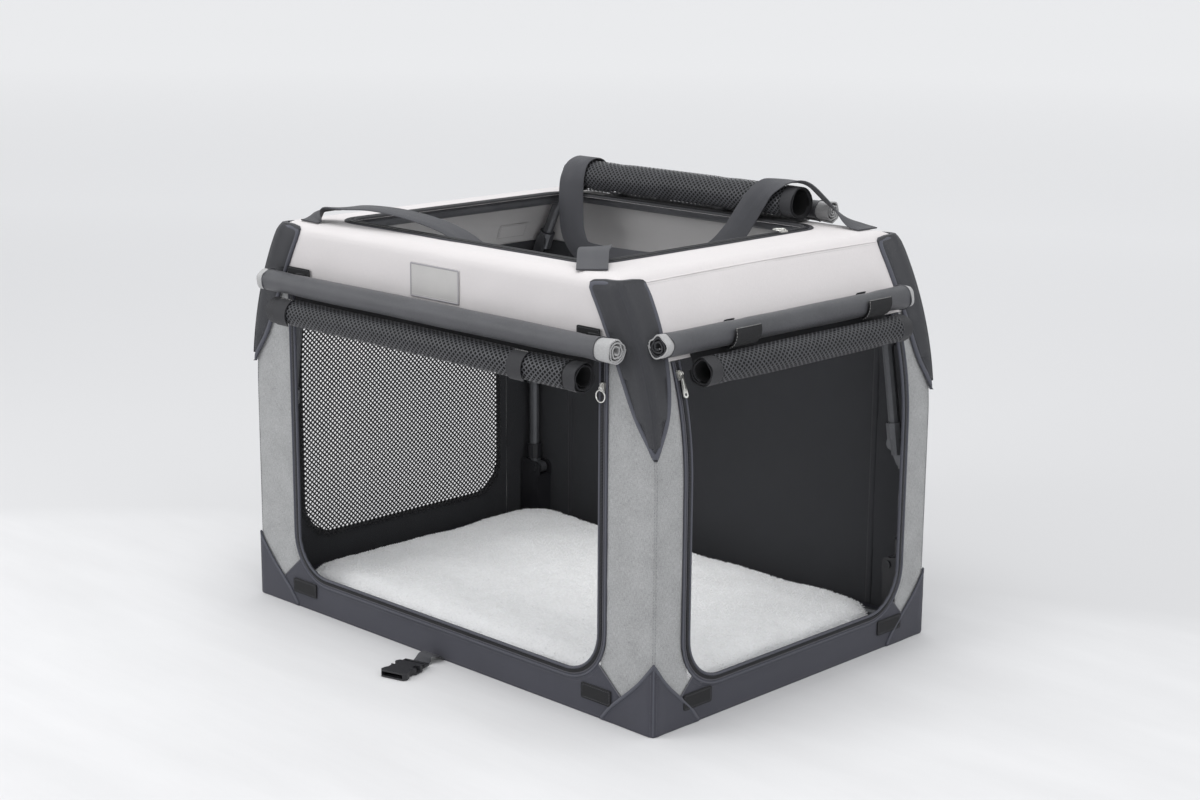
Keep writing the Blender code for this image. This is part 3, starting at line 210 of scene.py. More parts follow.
def turned(place, reach, angle, along):
    """A point at a reach and an angle from the middle of a roll; place takes (across, up, along)."""
    return place(reach * math.cos(angle), reach * math.sin(angle), along)


def around_corner(side_of_x, side_of_y):
    """Places (s, z, depth) round an upright corner: s < 0 is on the long wall and s > 0 on the end wall."""

    def place(s, v, depth):
        x, y = end_x(v), side_y(v)
        out_x, out_y = end_x(v, depth) - x, side_y(v, depth) - y
        if abs(s) < CORNER_RADIUS:
            angle = math.pi / 4 * (1 + s / CORNER_RADIUS)
            x += (CORNER_RADIUS + out_x) * math.sin(angle) - CORNER_RADIUS
            y += (CORNER_RADIUS + out_y) * math.cos(angle) - CORNER_RADIUS
        elif s > 0:
            x, y = x + out_x, y - s
        else:
            x, y = x + s, y + out_y
        return Vector((side_of_x * x, side_of_y * y, v))

    return place


def corner_word(side_of_x, side_of_y):
    """A corner's name."""
    return f"{'back' if side_of_y > 0 else 'front'}_{'right' if side_of_x > 0 else 'left'}"


# Outlines


def arc(centre, radius, start, end, steps):
    """Points along an arc, angles in degrees."""
    points = []
    for i in range(steps + 1):
        angle = math.radians(start + (end - start) * i / steps)
        points.append((centre[0] + radius * math.cos(angle), centre[1] + radius * math.sin(angle)))
    return points


def rectangle(low, high):
    """Outline of a rectangle, anticlockwise from its lower left."""
    return [(low[0], low[1]), (high[0], low[1]), (high[0], high[1]), (low[0], high[1])]


def rounded_rectangle(low, high, radius, steps=6):
    """Outline of a rectangle with round corners, anticlockwise from its lower left."""
    inner_low = (low[0] + radius, low[1] + radius)
    inner_high = (high[0] - radius, high[1] - radius)
    corners = (
        (inner_low, 180, 270),
        ((inner_high[0], inner_low[1]), 270, 360),
        (inner_high, 0, 90),
        ((inner_low[0], inner_high[1]), 90, 180),
    )
    return [point for centre, start, end in corners for point in arc(centre, radius, start, end, steps)]


def door_edge(half, sill, radius, top, steps=12):
    """The U of a door's edge, from its top left, down and round to its top right."""
    left = arc((-half + radius, sill + radius), radius, 180, 270, steps)
    right = arc((half - radius, sill + radius), radius, 270, 360, steps)
    return [(-half, top)] + left + right + [(half, top)]


def spline(points, steps):
    """Catmull-Rom curve through points."""
    points = [Vector(point) for point in points]
    padded = [2 * points[0] - points[1]] + points + [2 * points[-1] - points[-2]]
    curve = []
    for i in range(1, len(padded) - 2):
        before, start, end, after = padded[i - 1 : i + 3]
        for k in range(steps):
            t = k / steps
            first = 2 * start + (end - before) * t
            second = (2 * before - 5 * start + 4 * end - after) * t**2
            third = (3 * start - before - 3 * end + after) * t**3
            curve.append(0.5 * (first + second + third))
    curve.append(points[-1])
    return curve


def spaced(points, pitch, closed=False):
    """The same path with points a pitch apart at most."""
    points = [Vector(point) for point in points]
    if closed:
        points.append(points[0])
    path = []
    for start, end in zip(points, points[1:]):
        count = max(1, math.ceil((end - start).length / pitch))
        path += [start.lerp(end, i / count) for i in range(count)]
    if not closed:
        path.append(points[-1])
    return path


def headings(path, closed=False):
    """The direction of a path at each of its points."""
    last = len(path) - 1
    found = []
    for i in range(len(path)):
        ahead = path[(i + 1) % len(path)] if closed else path[min(i + 1, last)]
        behind = path[i - 1] if closed else path[max(i - 1, 0)]
        found.append((ahead - behind).normalized())
    return found


def normals(path, closed=False):
    """The direction to the left of a flat path at each of its points."""
    return [Vector((-along.y, along.x)) for along in headings(path, closed)]


def distances(points):
    """How far along a path each of its points lies."""
    found = [0.0]
    for start, end in zip(points, points[1:]):
        found.append(found[-1] + (end - start).length)
    return found


def moved(path, distance, closed=False):
    """A flat path moved to its left by a distance."""
    path = [Vector(point) for point in path]
    return [point + distance * normal for point, normal in zip(path, normals(path, closed))]


def path_length(path, closed=False):
    """Length of a path, back to its start where it is closed."""
    path = [Vector(point) for point in path]
    return distances(path + path[:1] if closed else path)[-1]


def outline_area(outline):
    """Area within an outline."""
    total = 0.0
    for i, (x, y) in enumerate(outline):
        total += outline[i - 1][0] * y - x * outline[i - 1][1]
    return abs(total) / 2


# Meshes


def cloth_layer(bm):
    """The map of the threads, in metres."""
    return bm.loops.layers.uv.get("cloth") or bm.loops.layers.uv.new("cloth")


def add_face(bm, verts, mapped, material=0):
    """Adds a smooth face with its place on the cloth."""
    face = bm.faces.new(verts)
    face.smooth = True
    face.material_index = material
    layer = cloth_layer(bm)
    for loop, spot in zip(face.loops, mapped):
        loop[layer].uv = (spot[0], spot[1])
    return face


def cut_sheet(outline, holes, pitch):
    """A flat sheet cut to an outline with holes, and gridded at a pitch."""
    flat = bmesh.new()
    for loop in (outline, *holes):
        verts = [flat.verts.new((point[0], point[1], 0.0)) for point in loop]
        for i, vert in enumerate(verts):
            flat.edges.new((verts[i - 1], vert))
    bmesh.ops.triangle_fill(flat, use_beauty=True, edges=flat.edges[:])
    for axis in (0, 1):
        values = [point[axis] for point in outline]
        normal = Vector((1.0, 0.0, 0.0)) if axis == 0 else Vector((0.0, 1.0, 0.0))
        first = math.ceil(min(values) / pitch + 0.01)
        last = math.floor(max(values) / pitch - 0.01)
        for i in range(first, last + 1):
            geometry = flat.verts[:] + flat.edges[:] + flat.faces[:]
            bmesh.ops.bisect_plane(flat, geom=geometry, dist=1e-6, plane_co=normal * i * pitch, plane_no=normal)
    return flat


def sewn_sheet(bm, outline, place, depths, holes=(), pitch=0.012, swell=None, lining=0):
    """Adds a sheet of cloth, laid on the skin between two depths; a lining has its own finish and lies flat."""
    flat = cut_sheet(outline, holes, pitch)
    inner, outer = depths
    near, far = {}, {}
    for vert in flat.verts:
        u, v = vert.co.x, vert.co.y
        rise = swell(u, v) if swell else 0.0
        near[vert] = bm.verts.new(place(u, v, inner + (rise if lining else 0.0)))
        far[vert] = bm.verts.new(place(u, v, outer + rise))
    for face in flat.faces:
        spots = [vert.co for vert in face.verts]
        add_face(bm, [far[vert] for vert in face.verts], spots)
        add_face(bm, [near[vert] for vert in face.verts], spots, lining)
    for edge in flat.edges:
        if edge.is_boundary:
            start, end = edge.verts
            aside = Vector((0.001, 0.001, 0.0))
            spots = (start.co, end.co, end.co + aside, start.co + aside)
            add_face(bm, (near[start], near[end], far[end], far[start]), spots)
    flat.free()


def welt(bm, path, place, depth, width, height, closed=False, material=0, steps=6):
    """Adds a raised rib, such as piping, binding or a seam, along a flat path laid on the skin."""
    path = [Vector(point) for point in path]
    travelled = distances(path)
    rows = []
    for point, normal in zip(path, normals(path, closed)):
        row = []
        for k in range(steps + 1):
            angle = math.pi * k / steps
            spot = point - math.cos(angle) * width / 2 * normal
            row.append(bm.verts.new(place(spot.x, spot.y, depth + height * math.sin(angle) ** 0.7)))
        rows.append(row)
    last = len(rows) if closed else len(rows) - 1
    for i in range(last):
        j = (i + 1) % len(rows)
        along = (travelled[i], travelled[i] + (path[j] - path[i]).length)
        for k in range(steps):
            spots = rectangle((width * k / steps, along[0]), (width * (k + 1) / steps, along[1]))
            add_face(bm, (rows[i][k], rows[i][k + 1], rows[j][k + 1], rows[j][k]), spots, material)
        under = (rows[i][0], rows[j][0], rows[j][steps], rows[i][steps])
        add_face(bm, under, ((0.0, along[0]), (0.0, along[1]), (width, along[1]), (width, along[0])), material)
    if not closed:
        for row in (rows[0], rows[-1]):
            add_face(bm, row, [(width * k / steps, 0.0) for k in range(steps + 1)], material)


def stitch_row(bm, path, place, depth, closed=False, material=0):
    """Adds a row of stitches along a flat path laid on the skin."""
    length = sizes().stitch
    half_width, thread_share = 0.00035, 0.78
    path = spaced(path, length * 1.25, closed)
    for start, end in zip(path, path[1:]):
        along = end - start
        if along.length < length * 0.5:
            continue
        aside = Vector((-along.y, along.x)).normalized() * half_width
        end = start + along * thread_share
        middle = (start + end) / 2
        tips = [bm.verts.new(place(tip.x, tip.y, depth)) for tip in (start, end)]
        ring = [
            bm.verts.new(place(middle.x + aside.x * a, middle.y + aside.y * a, depth + 0.0004 * b))
            for a, b in ((-1, 0), (0, 1), (1, 0))
        ]
        for first, second in ((ring[0], ring[1]), (ring[1], ring[2]), (ring[2], ring[0])):
            for tip in tips:
                add_face(bm, (first, second, tip), (middle, middle, middle), material)


def teeth(bm, path, place, depth, size, closed=False):
    """Adds a zip's teeth along a flat path laid on the skin."""
    width, height = size
    pitch = sizes().tooth_pitch
    path = spaced(path, pitch, closed)
    for start, end in zip(path, path[1:]):
        along = end - start
        if along.length < 1e-6:
            continue
        aside = Vector((-along.y, along.x)).normalized() * width / 2
        end = start + along * 0.55
        low, high = [], []
        for point in (start + aside, start - aside, end - aside, end + aside):
            low.append(bm.verts.new(place(point.x, point.y, depth)))
            high.append(bm.verts.new(place(point.x, point.y, depth + height)))
        add_face(bm, high, [point.co.xy for point in high])
        add_face(bm, low[::-1], [point.co.xy for point in low])
        for i in range(4):
            corners = (low[i - 1], low[i], high[i], high[i - 1])
            add_face(bm, corners, [point.co.xy for point in corners])


def net(bm, place, low, high, narrowed=1.0, inside=None):
    """Adds a diamond net between two corners, as flat strands round open holes."""
    cell = tuple(sizes().net_cell)
    half_u, half_v = cell[0] / 2, cell[1] / 2
    share = 1.0 - sizes().net_strand * narrowed / min(cell)
    columns = math.floor((high[0] - low[0]) / half_u)
    rows = math.floor((high[1] - low[1]) / half_v)
    knots = {}

    def knot(i, k):
        if (i, k) not in knots:
            knots[i, k] = bm.verts.new(place(low[0] + i * half_u, low[1] + k * half_v, 0.0))
        return knots[i, k]

    for i in range(1, columns):
        for k in range(1, rows):
            u, v = low[0] + i * half_u, low[1] + k * half_v
            if (i + k) % 2 or (inside and not inside(u, v)):
                continue
            steps = ((1, 0), (0, 1), (-1, 0), (0, -1))
            outer = [knot(i + a, k + b) for a, b in steps]
            inner = [bm.verts.new(place(u + a * half_u * share, v + b * half_v * share, 0.0)) for a, b in steps]
            for n in range(4):
                add_face(bm, (outer[n - 1], outer[n], inner[n], inner[n - 1]), [(u, v)] * 4)


def ribbon(bm, middles, widths, width, thickness):
    """Adds webbing with rounded edges along a route, given as its middles and the ways that its width points."""
    profile = ((-1, -0.4), (-0.94, -1), (0.94, -1), (1, -0.4), (1, 0.4), (0.94, 1), (-0.94, 1), (-1, 0.4))
    travelled = distances(middles)
    loops = []
    for middle, wide, along in zip(middles, widths, headings(middles)):
        across = (wide - wide.dot(along) * along).normalized()
        face = along.cross(across)
        loops.append([bm.verts.new(middle + a * width / 2 * across + b * thickness / 2 * face) for a, b in profile])
    for i in range(len(loops) - 1):
        for k in range(8):
            n = (k + 1) % 8
            left, right = profile[k][0] * width / 2, profile[n][0] * width / 2
            spots = rectangle((left, travelled[i]), (right, travelled[i + 1]))
            add_face(bm, (loops[i][k], loops[i][n], loops[i + 1][n], loops[i + 1][k]), spots)
    for loop in (loops[0], loops[-1]):
        add_face(bm, loop, [(a * width / 2, b * thickness / 2) for a, b in profile])


def rolled(bm, place, radius, sheet, pitch, turns, stations, start, shape, light=None, inside=1):
    """Adds a sheet of cloth wound in a spiral, from its start in degrees; light and inside give its finishes."""
    steps = round(turns * AROUND)
    grid = []
    for along in stations:
        row = []
        for i in range(steps + 1):
            turn = turns * i / steps
            angle = math.radians(start) + math.tau * turn
            reach = radius - pitch * turn + shape(angle, along, turn)
            row.append([bm.verts.new(turned(place, size, angle, along)) for size in (reach, reach - sheet)])
        grid.append(row)
    arc_step = math.tau * radius * turns / steps
    for j in range(len(stations) - 1):
        material = light(stations[j], stations[j + 1]) if light else 0
        for i in range(steps):
            a, b, c, d = grid[j][i], grid[j][i + 1], grid[j + 1][i + 1], grid[j + 1][i]
            spots = rectangle((arc_step * i, stations[j]), (arc_step * (i + 1), stations[j + 1]))
            add_face(bm, (a[0], b[0], c[0], d[0]), spots, inside if material and i > AROUND else material)
            add_face(bm, (d[1], c[1], b[1], a[1]), spots[::-1], inside if light else 0)
        for i in (0, steps):
            a, d = grid[j][i], grid[j + 1][i]
            spots = rectangle((0.0, stations[j]), (0.001, stations[j + 1]))
            add_face(bm, (a[0], a[1], d[1], d[0]), spots, material)
    for row in (grid[0], grid[-1]):
        for i in range(steps):
            a, b = row[i], row[i + 1]
            spots = rectangle((arc_step * i, 0.0), (arc_step * (i + 1), sheet))
            add_face(bm, (a[0], b[0], b[1], a[1]), spots, 0 if not light else inside if i > AROUND else 1)


def solid_block(bm, outline, place, low, high):
    """Adds a flat-topped block with an outline."""
    floor = [bm.verts.new(place(u, v, low)) for u, v in outline]
    top = [bm.verts.new(place(u, v, high)) for u, v in outline]
    add_face(bm, top, outline)
    add_face(bm, floor[::-1], outline[::-1])
    for i in range(len(outline)):
        corners = (floor[i - 1], floor[i], top[i], top[i - 1])
        add_face(bm, corners, (outline[i - 1], outline[i], outline[i], outline[i - 1]))


def tube(bm, points, radius, closed=False):
    """Adds a round wire along points."""
    points = [Vector(point) for point in points]
    sides = 8
    rows, side = [], None
    for point, along in zip(points, headings(points, closed)):
        side = along.orthogonal().normalized() if side is None else (side - side.dot(along) * along).normalized()
        other = along.cross(side)
        angles = [math.tau * k / sides for k in range(sides)]
        rows.append([bm.verts.new(point + radius * (math.cos(a) * side + math.sin(a) * other)) for a in angles])
    for i in range(len(rows) if closed else len(rows) - 1):
        first, second = rows[i], rows[(i + 1) % len(rows)]
        for k in range(sides):
            n = (k + 1) % sides
            add_face(bm, (first[k], first[n], second[n], second[k]), rectangle((0.0, 0.0), (0.001, 0.001)))
    if not closed:
        add_face(bm, rows[0][::-1], [(0.0, 0.0)] * sides)
        add_face(bm, rows[-1], [(0.0, 0.0)] * sides)


def paint_from(bm, first, material):
    """Gives a finish to all the faces from a number on."""
    bm.faces.ensure_lookup_table()
    for i in range(first, len(bm.faces)):
        bm.faces[i].material_index = material


def finished_mesh(name, bm):
    """Turns a working mesh into a kept one, and frees it."""
    mesh = bpy.data.meshes.new(name)
    bm.to_mesh(mesh)
    bm.free()
    return mesh


def add_object(name, data):
    """Adds an object to the scene."""
    made = bpy.data.objects.new(name, data)
    bpy.context.collection.objects.link(made)
    return made


def cut_away(bm, other):
    """Returns a mesh with another cut out of it."""
    pair = []
    for shape in (bm, other):
        bmesh.ops.recalc_face_normals(shape, faces=shape.faces[:])
        pair.append(add_object("working", finished_mesh("working", shape)))
    modifier = pair[0].modifiers.new("cut", "BOOLEAN")
    modifier.object = pair[1]
    modifier.operation = "DIFFERENCE"
    modifier.solver = "EXACT"
    result = bmesh.new()
    result.from_mesh(pair[0].evaluated_get(bpy.context.evaluated_depsgraph_get()).to_mesh())
    for working in pair:
        bpy.data.objects.remove(working)
    return result


def add_piece(name, bm, finishes, body="root", replaces=()):
    """Makes a named piece from a mesh; it rides on a body and takes its finish from a slot."""
    bmesh.ops.recalc_face_normals(bm, faces=bm.faces[:])
    mesh = finished_mesh(name, bm)
    mesh.set_sharp_from_angle(angle=math.radians(42))
    for finish in finishes:
        mesh.materials.append(bpy.data.materials[finish])
    piece = add_object(name, mesh)
    if replaces:
        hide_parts(*replaces)
    if body:
        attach(piece, body)
    return piece


def crumple(piece, low):
    """Gives a piece its own copy of its mesh."""
    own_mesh(piece)


def declare_sheet(outline, holes=()):
    """Works out the size and area of a flat-cut sheet of cloth, less its holes, and keeps neither."""
    us, vs = zip(*outline)
    size = (max(us) - min(us), max(vs) - min(vs))
    area = outline_area(outline) - sum(outline_area(hole) for hole in holes)


def waves(u, v, size, length, seed):
    """Soft irregular waves of a given height and length."""
    spot = Vector((u / length + seed, v / length - seed, seed * 1.7))
    return size * noise.noise(spot)


# Finishes


class Recipe:
    """A finish, and the shader that its nodes feed."""

    def __init__(self, name, roughness, metallic=0.0, sheen=0.0):
        self.material = bpy.data.materials.new(name)
        self.material.use_nodes = True
        self.tree = self.material.node_tree
        self.shader = self.tree.nodes["Principled BSDF"]
        self.shader.inputs["Roughness"].default_value = roughness
        self.shader.inputs["Metallic"].default_value = metallic
        self.shader.inputs["Sheen Weight"].default_value = sheen
        self.shader.inputs["Sheen Roughness"].default_value = 0.45

    def feed(self, socket, value):
        if isinstance(value, bpy.types.NodeSocket):
            self.tree.links.new(value, socket)
        else:
            socket.default_value = value

    def node(self, kind, inputs=(), **settings):
        made = self.tree.nodes.new(kind)
        for key, value in settings.items():
            setattr(made, key, value)
        for key, value in inputs:
            self.feed(made.inputs[key], value)
        return made

    def threads(self):
        """The cloth's own map, in metres."""
        return self.node("ShaderNodeUVMap", uv_map="cloth").outputs["UV"]

    def places(self):
        """Places on a piece in its own space, in metres."""
        return self.node("ShaderNodeTexCoord").outputs["Object"]

    def stretched(self, vector, scale):
        return self.node("ShaderNodeMapping", (("Vector", vector), ("Scale", scale))).outputs["Vector"]

    def cloud(self, vector, scale, detail=3.0, roughness=0.55):
        inputs = (("Vector", vector), ("Scale", scale), ("Detail", detail), ("Roughness", roughness))
        return self.node("ShaderNodeTexNoise", inputs).outputs["Fac"]

    def mottle(self, scale, detail=4.0, roughness=0.55):
        """Unevenness over a whole piece."""
        return self.cloud(self.places(), scale, detail, roughness)

    def fibres(self, across, along, detail=3.0, roughness=0.55):
        """Unevenness drawn out along the threads."""
        return self.cloud(self.stretched(self.threads(), (across, along, 1.0)), 1.0, detail, roughness)

    def stripes(self, vector, period, direction):
        inputs = (("Vector", vector), ("Scale", math.tau / 20 / period))
        return self.node("ShaderNodeTexWave", inputs, bands_direction=direction).outputs["Fac"]

    def maths(self, operation, first, second):
        return self.node("ShaderNodeMath", ((0, first), (1, second)), operation=operation).outputs[0]

    def weighed(self, *parts):
        """The sum of values, each with its weight."""
        weighted = [self.maths("MULTIPLY", value, weight) for value, weight in parts]
        total = weighted[0]
        for part in weighted[1:]:
            total = self.maths("ADD", total, part)
        return total

    def blended(self, share, first, second):
        inputs = ((0, share), (2, first), (3, second))
        return self.node("ShaderNodeMix", inputs).outputs[0]

    def dyed(self, share, first, second):
        inputs = ((0, share), (6, (*first, 1.0)), (7, (*second, 1.0)))
        return self.node("ShaderNodeMix", inputs, data_type="RGBA").outputs[2]

    def spread(self, value, low, high, to_low=0.0, to_high=1.0):
        inputs = (("Value", value), ("From Min", low), ("From Max", high), ("To Min", to_low), ("To Max", to_high))
        return self.node("ShaderNodeMapRange", inputs).outputs["Result"]

    def plain_weave(self, thread):
        """Height of a plain weave, whose warp and weft pass over each other by turns."""
        vector = self.threads()
        warp = self.stripes(vector, thread, "X")
        weft = self.stripes(vector, thread, "Y")
        over = self.node("ShaderNodeTexChecker", (("Vector", vector), ("Scale", 1 / thread))).outputs["Fac"]
        return self.blended(over, warp, weft)

    def colour(self, socket):
        self.feed(self.shader.inputs["Base Color"], socket)

    def dye(self, value, low, high, dark, bright):
        """Colours the finish from dark to bright, as a value goes from low to high."""
        self.colour(self.dyed(self.spread(value, low, high), dark, bright))

    def roughen(self, value, low, high):
        self.feed(self.shader.inputs["Roughness"], self.spread(value, 0.3, 0.7, low, high))

    def relief(self, height, strength, distance, under=None):
        inputs = [("Height", height), ("Strength", strength), ("Distance", distance)]
        if under:
            inputs.append(("Normal", under))
        return self.node("ShaderNodeBump", inputs).outputs["Normal"]

    def emboss(self, normal):
        self.feed(self.shader.inputs["Normal"], normal)


def times(colour, share):
    """A colour made darker or brighter."""
    return tuple(channel * share for channel in colour)


def woven(name, colour, thread, contrast=0.22, sheen=0.15, roughness=0.85, streak=(1.0, 1.0), relief=0.5):
    """A woven cloth: threads in relief, slubs along them, a soft unevenness from handling, and painted shade in the
    gaps between the threads.
    """
    recipe = Recipe(name, roughness, sheen=sheen)
    weave = recipe.plain_weave(thread)
    slubs = recipe.fibres(900 * streak[0], 900 * streak[1], 2.0)
    # the weave's share darkens the gaps between the threads: painted shade, mixed with the real unevenness of the
    # slubs and the handling
    shade = recipe.weighed((slubs, 0.65), (recipe.mottle(14.0), 0.35), (weave, 0.25))
    recipe.dye(shade, 0.38, 0.86, times(colour, 1 - contrast), times(colour, 1 + contrast * 0.5))
    creases = recipe.relief(recipe.mottle(9.0, 5.0, 0.6), 0.25, 0.006)
    recipe.emboss(recipe.relief(weave, relief, thread * 0.35, creases))
    return recipe


def heather(name, light, dark, thread):
    """A heathered cloth, spun from light and dark yarn, with a little painted shade in the gaps between the threads.
    """
    recipe = Recipe(name, 0.9, sheen=0.2)
    weave = recipe.plain_weave(thread)
    upright = recipe.fibres(1500.0, 190.0, 3.0, 0.7)
    level = recipe.fibres(230.0, 1300.0, 3.0, 0.7)
    # the weave's small share darkens the gaps between the threads: painted shade; the rest is the yarn's real streaks
    # and mottle
    yarn = recipe.weighed((upright, 0.5), (level, 0.38), (recipe.mottle(30.0), 0.16), (weave, 0.06))
    recipe.dye(yarn, 0.4, 0.66, dark, light)
    creases = recipe.relief(recipe.mottle(11.0), 0.2, 0.005)
    recipe.emboss(recipe.relief(weave, 0.5, thread * 0.4, creases))
    return recipe


def ribbed(name, colour, rib, twill=0.0):
    """Webbing or binding tape: ribs across its length, leaning one way and the other where it is a twill."""
    recipe = Recipe(name, 0.7, sheen=0.1)
    vector = recipe.threads()
    if twill:
        parts = recipe.node("ShaderNodeSeparateXYZ", (("Vector", vector),))
        lean = recipe.maths("PINGPONG", parts.outputs["X"], twill)
        along = recipe.maths("ADD", parts.outputs["Y"], lean)
        vector = recipe.node("ShaderNodeCombineXYZ", (("X", parts.outputs["X"]), ("Y", along))).outputs["Vector"]
    ribs = recipe.stripes(vector, rib, "Y")
    shade = recipe.weighed((ribs, 0.45), (recipe.fibres(1400.0, 500.0), 0.4), (recipe.mottle(22.0), 0.25))
    recipe.dye(shade, 0.3, 0.85, times(colour, 0.7), times(colour, 1.3))
    recipe.emboss(recipe.relief(ribs, 0.6, rib * 0.3))
    return recipe


def satin(name, colour, thread, roughness, bright):
    """A coated cloth with a satin face over a fine weave."""
    recipe = Recipe(name, roughness, sheen=0.1)
    weave = recipe.plain_weave(thread)
    rubbed = recipe.mottle(18.0, 5.0, 0.65)
    shade = recipe.weighed((rubbed, 0.5), (recipe.fibres(300.0, 1100.0, 2.0), 0.5))
    recipe.dye(shade, 0.35, 0.65, times(colour, 0.86), bright)
    recipe.roughen(rubbed, roughness - 0.06, roughness + 0.12)
    creases = recipe.relief(recipe.mottle(16.0, 5.0, 0.6), 0.3, 0.004)
    recipe.emboss(recipe.relief(weave, 0.3, thread * 0.3, creases))
    return recipe


def speckled(name, colour, bright, roughness, grain, metallic=0.0, relief=0.15, scratches=0.0):
    """A moulded, coated or plated finish: fine grain, cloudy gloss and the odd scuff."""
    recipe = Recipe(name, roughness, metallic)
    places = recipe.places()
    fine = recipe.cloud(places, grain, 3.0)
    cloudy = recipe.cloud(places, 28.0, 4.0)
    shade = recipe.weighed((fine, 0.55), (cloudy, 0.45))
    if scratches:
        lines = recipe.cloud(recipe.stretched(places, (60.0, 900.0, 420.0)), 1.0, 2.0)
        shade = recipe.maths("ADD", shade, recipe.spread(lines, 0.66, 0.72, 0.0, scratches))
    recipe.dye(shade, 0.35, 0.7, colour, bright)
    recipe.roughen(cloudy, roughness - 0.05, roughness + 0.1)
    recipe.emboss(recipe.relief(fine, relief, 0.0004))
    return recipe


def fleecy(name, colour):
    """Fleece: curled tufts in clumps, with a soft sheen."""
    recipe = Recipe(name, 0.95, sheen=0.5)
    places = recipe.places()
    curls = recipe.node("ShaderNodeTexVoronoi", (("Vector", places), ("Scale", 260.0))).outputs["Distance"]
    clumps = recipe.cloud(places, 55.0, 5.0, 0.65)
    pile = recipe.weighed((curls, 0.35), (clumps, 0.65), (recipe.cloud(places, 700.0, 3.0), 0.25))
    recipe.dye(pile, 0.35, 0.75, times(colour, 0.94), times(colour, 1.03))
    recipe.emboss(recipe.relief(pile, 0.35, 0.003))
    return recipe


class CRATE_OT_finishes(bpy.types.Operator):
    """Mixes the finishes of the cloth, webbing, metal and plastic."""

    bl_idname = "crate.finishes"
    bl_label = "Finishes"

    def execute(self, context):
        shades = colours()
        cover, charcoal, panel = tuple(shades.cover), tuple(shades.charcoal), tuple(shades.panel)
        piping, webbing, fleece = tuple(shades.piping), tuple(shades.webbing), tuple(shades.fleece)
        woven("cover cloth", cover, 0.0011, 0.05, streak=(1.0, 0.25), relief=0.25)
        # the inner side of the same white cloth, dyed greyer than the cover cloth: painted shade for the shadow
        # inside the cover
        woven("cover lining", (0.52, 0.51, 0.51), 0.0012, 0.06, roughness=0.8)
        heather("heather cloth", times(panel, 1.06), times(panel, 0.48), 0.0013)
        woven("charcoal cloth", charcoal, 0.0012, 0.28, streak=(1.0, 0.3))
        woven("guard cloth", (0.036, 0.037, 0.043), 0.0012, 0.25, streak=(1.0, 0.3))
        woven("dark lining", (0.028, 0.029, 0.034), 0.0012, 0.25)
        woven("floor cloth", (0.03, 0.031, 0.036), 0.0014, 0.25)
        satin("flap cloth", (0.052, 0.053, 0.06), 0.0011, 0.39, (0.08, 0.081, 0.09))
        heather("flap lining", (0.5, 0.5, 0.5), (0.34, 0.34, 0.345), 0.0011)
        satin("net cord", (0.018, 0.018, 0.02), 0.0009, 0.55, (0.032, 0.032, 0.035))
        # the same net cord, lighter on the rolls than in the window: painted highlight on the rolled strands
        satin("rolled net cord", (0.043, 0.044, 0.05), 0.0009, 0.48, (0.068, 0.069, 0.077))
        # a near-black sheet under the rolled net: painted shade, standing in for the dark inner turns seen through
        # the holes
        woven("net shade", (0.006, 0.006, 0.007), 0.0012, 0.3, sheen=0.0)
        ribbed("binding tape", piping, 0.001)
        ribbed("strap weave", webbing, 0.0021, twill=0.0095)
        ribbed("dark binding", (0.02, 0.02, 0.024), 0.0009)
        woven("thread", (0.1, 0.1, 0.115), 0.0006, 0.2, roughness=0.6)
        woven("pale thread", (0.6, 0.59, 0.58), 0.0006, 0.1, roughness=0.6)
        hook = woven("hook tape", (0.011, 0.011, 0.013), 0.0011, 0.6, sheen=0.08)
        hook.shader.inputs["Roughness"].default_value = 0.95
        speckled("zip teeth", (0.014, 0.014, 0.017), (0.03, 0.03, 0.034), 0.42, 1500.0)
        speckled("bright nickel", (0.8, 0.79, 0.76), (0.92, 0.91, 0.88), 0.3, 1800.0, 1.0, 0.08, 0.25)
        speckled("coated steel", (0.11, 0.113, 0.122), (0.17, 0.173, 0.185), 0.4, 1400.0, 0.55, 0.2, 0.25)
        speckled("moulded plastic", (0.014, 0.014, 0.017), (0.028, 0.028, 0.032), 0.44, 1700.0, 0.0, 0.25, 0.08)
        speckled("badge rubber", (0.485, 0.475, 0.468), (0.555, 0.545, 0.532), 0.42, 1500.0, 0.0, 0.12)
        speckled("badge border", (0.3, 0.29, 0.31), (0.38, 0.37, 0.39), 0.4, 1500.0, 0.0, 0.12)
        fleecy("curled fleece", fleece)
        return {"FINISHED"}


# Base, floor and mat


def band_outline(half_length, door_half, boot, shoulder):
    """Outline of one wall's base band: high at the corners, with a sill that dips under the door."""
    radius = DOOR_CORNER + ZIP_WIDTH
    centre = (door_half - DOOR_CORNER, DOOR_SILL_Z + DOOR_CORNER)
    notch = (half_length - boot[0], boot[1])
    peak = (half_length - shoulder[0], shoulder[1])
    step, offset = Vector(peak) - Vector(notch), Vector(notch) - Vector(centre)
    a, b, c = step.dot(step), 2 * offset.dot(step), offset.dot(offset) - radius**2
    meeting = Vector(notch) + (-b - math.sqrt(b * b - 4 * a * c)) / (2 * a) * step
    angle = math.degrees(math.atan2(meeting.y - centre[1], meeting.x - centre[0]))
    lap = half_length - 0.01
    right = [(lap, 0.0), (lap, 0.055), notch] + arc(centre, radius, angle, -90, 12)
    return right + [(-x, z) for x, z in reversed(right)]


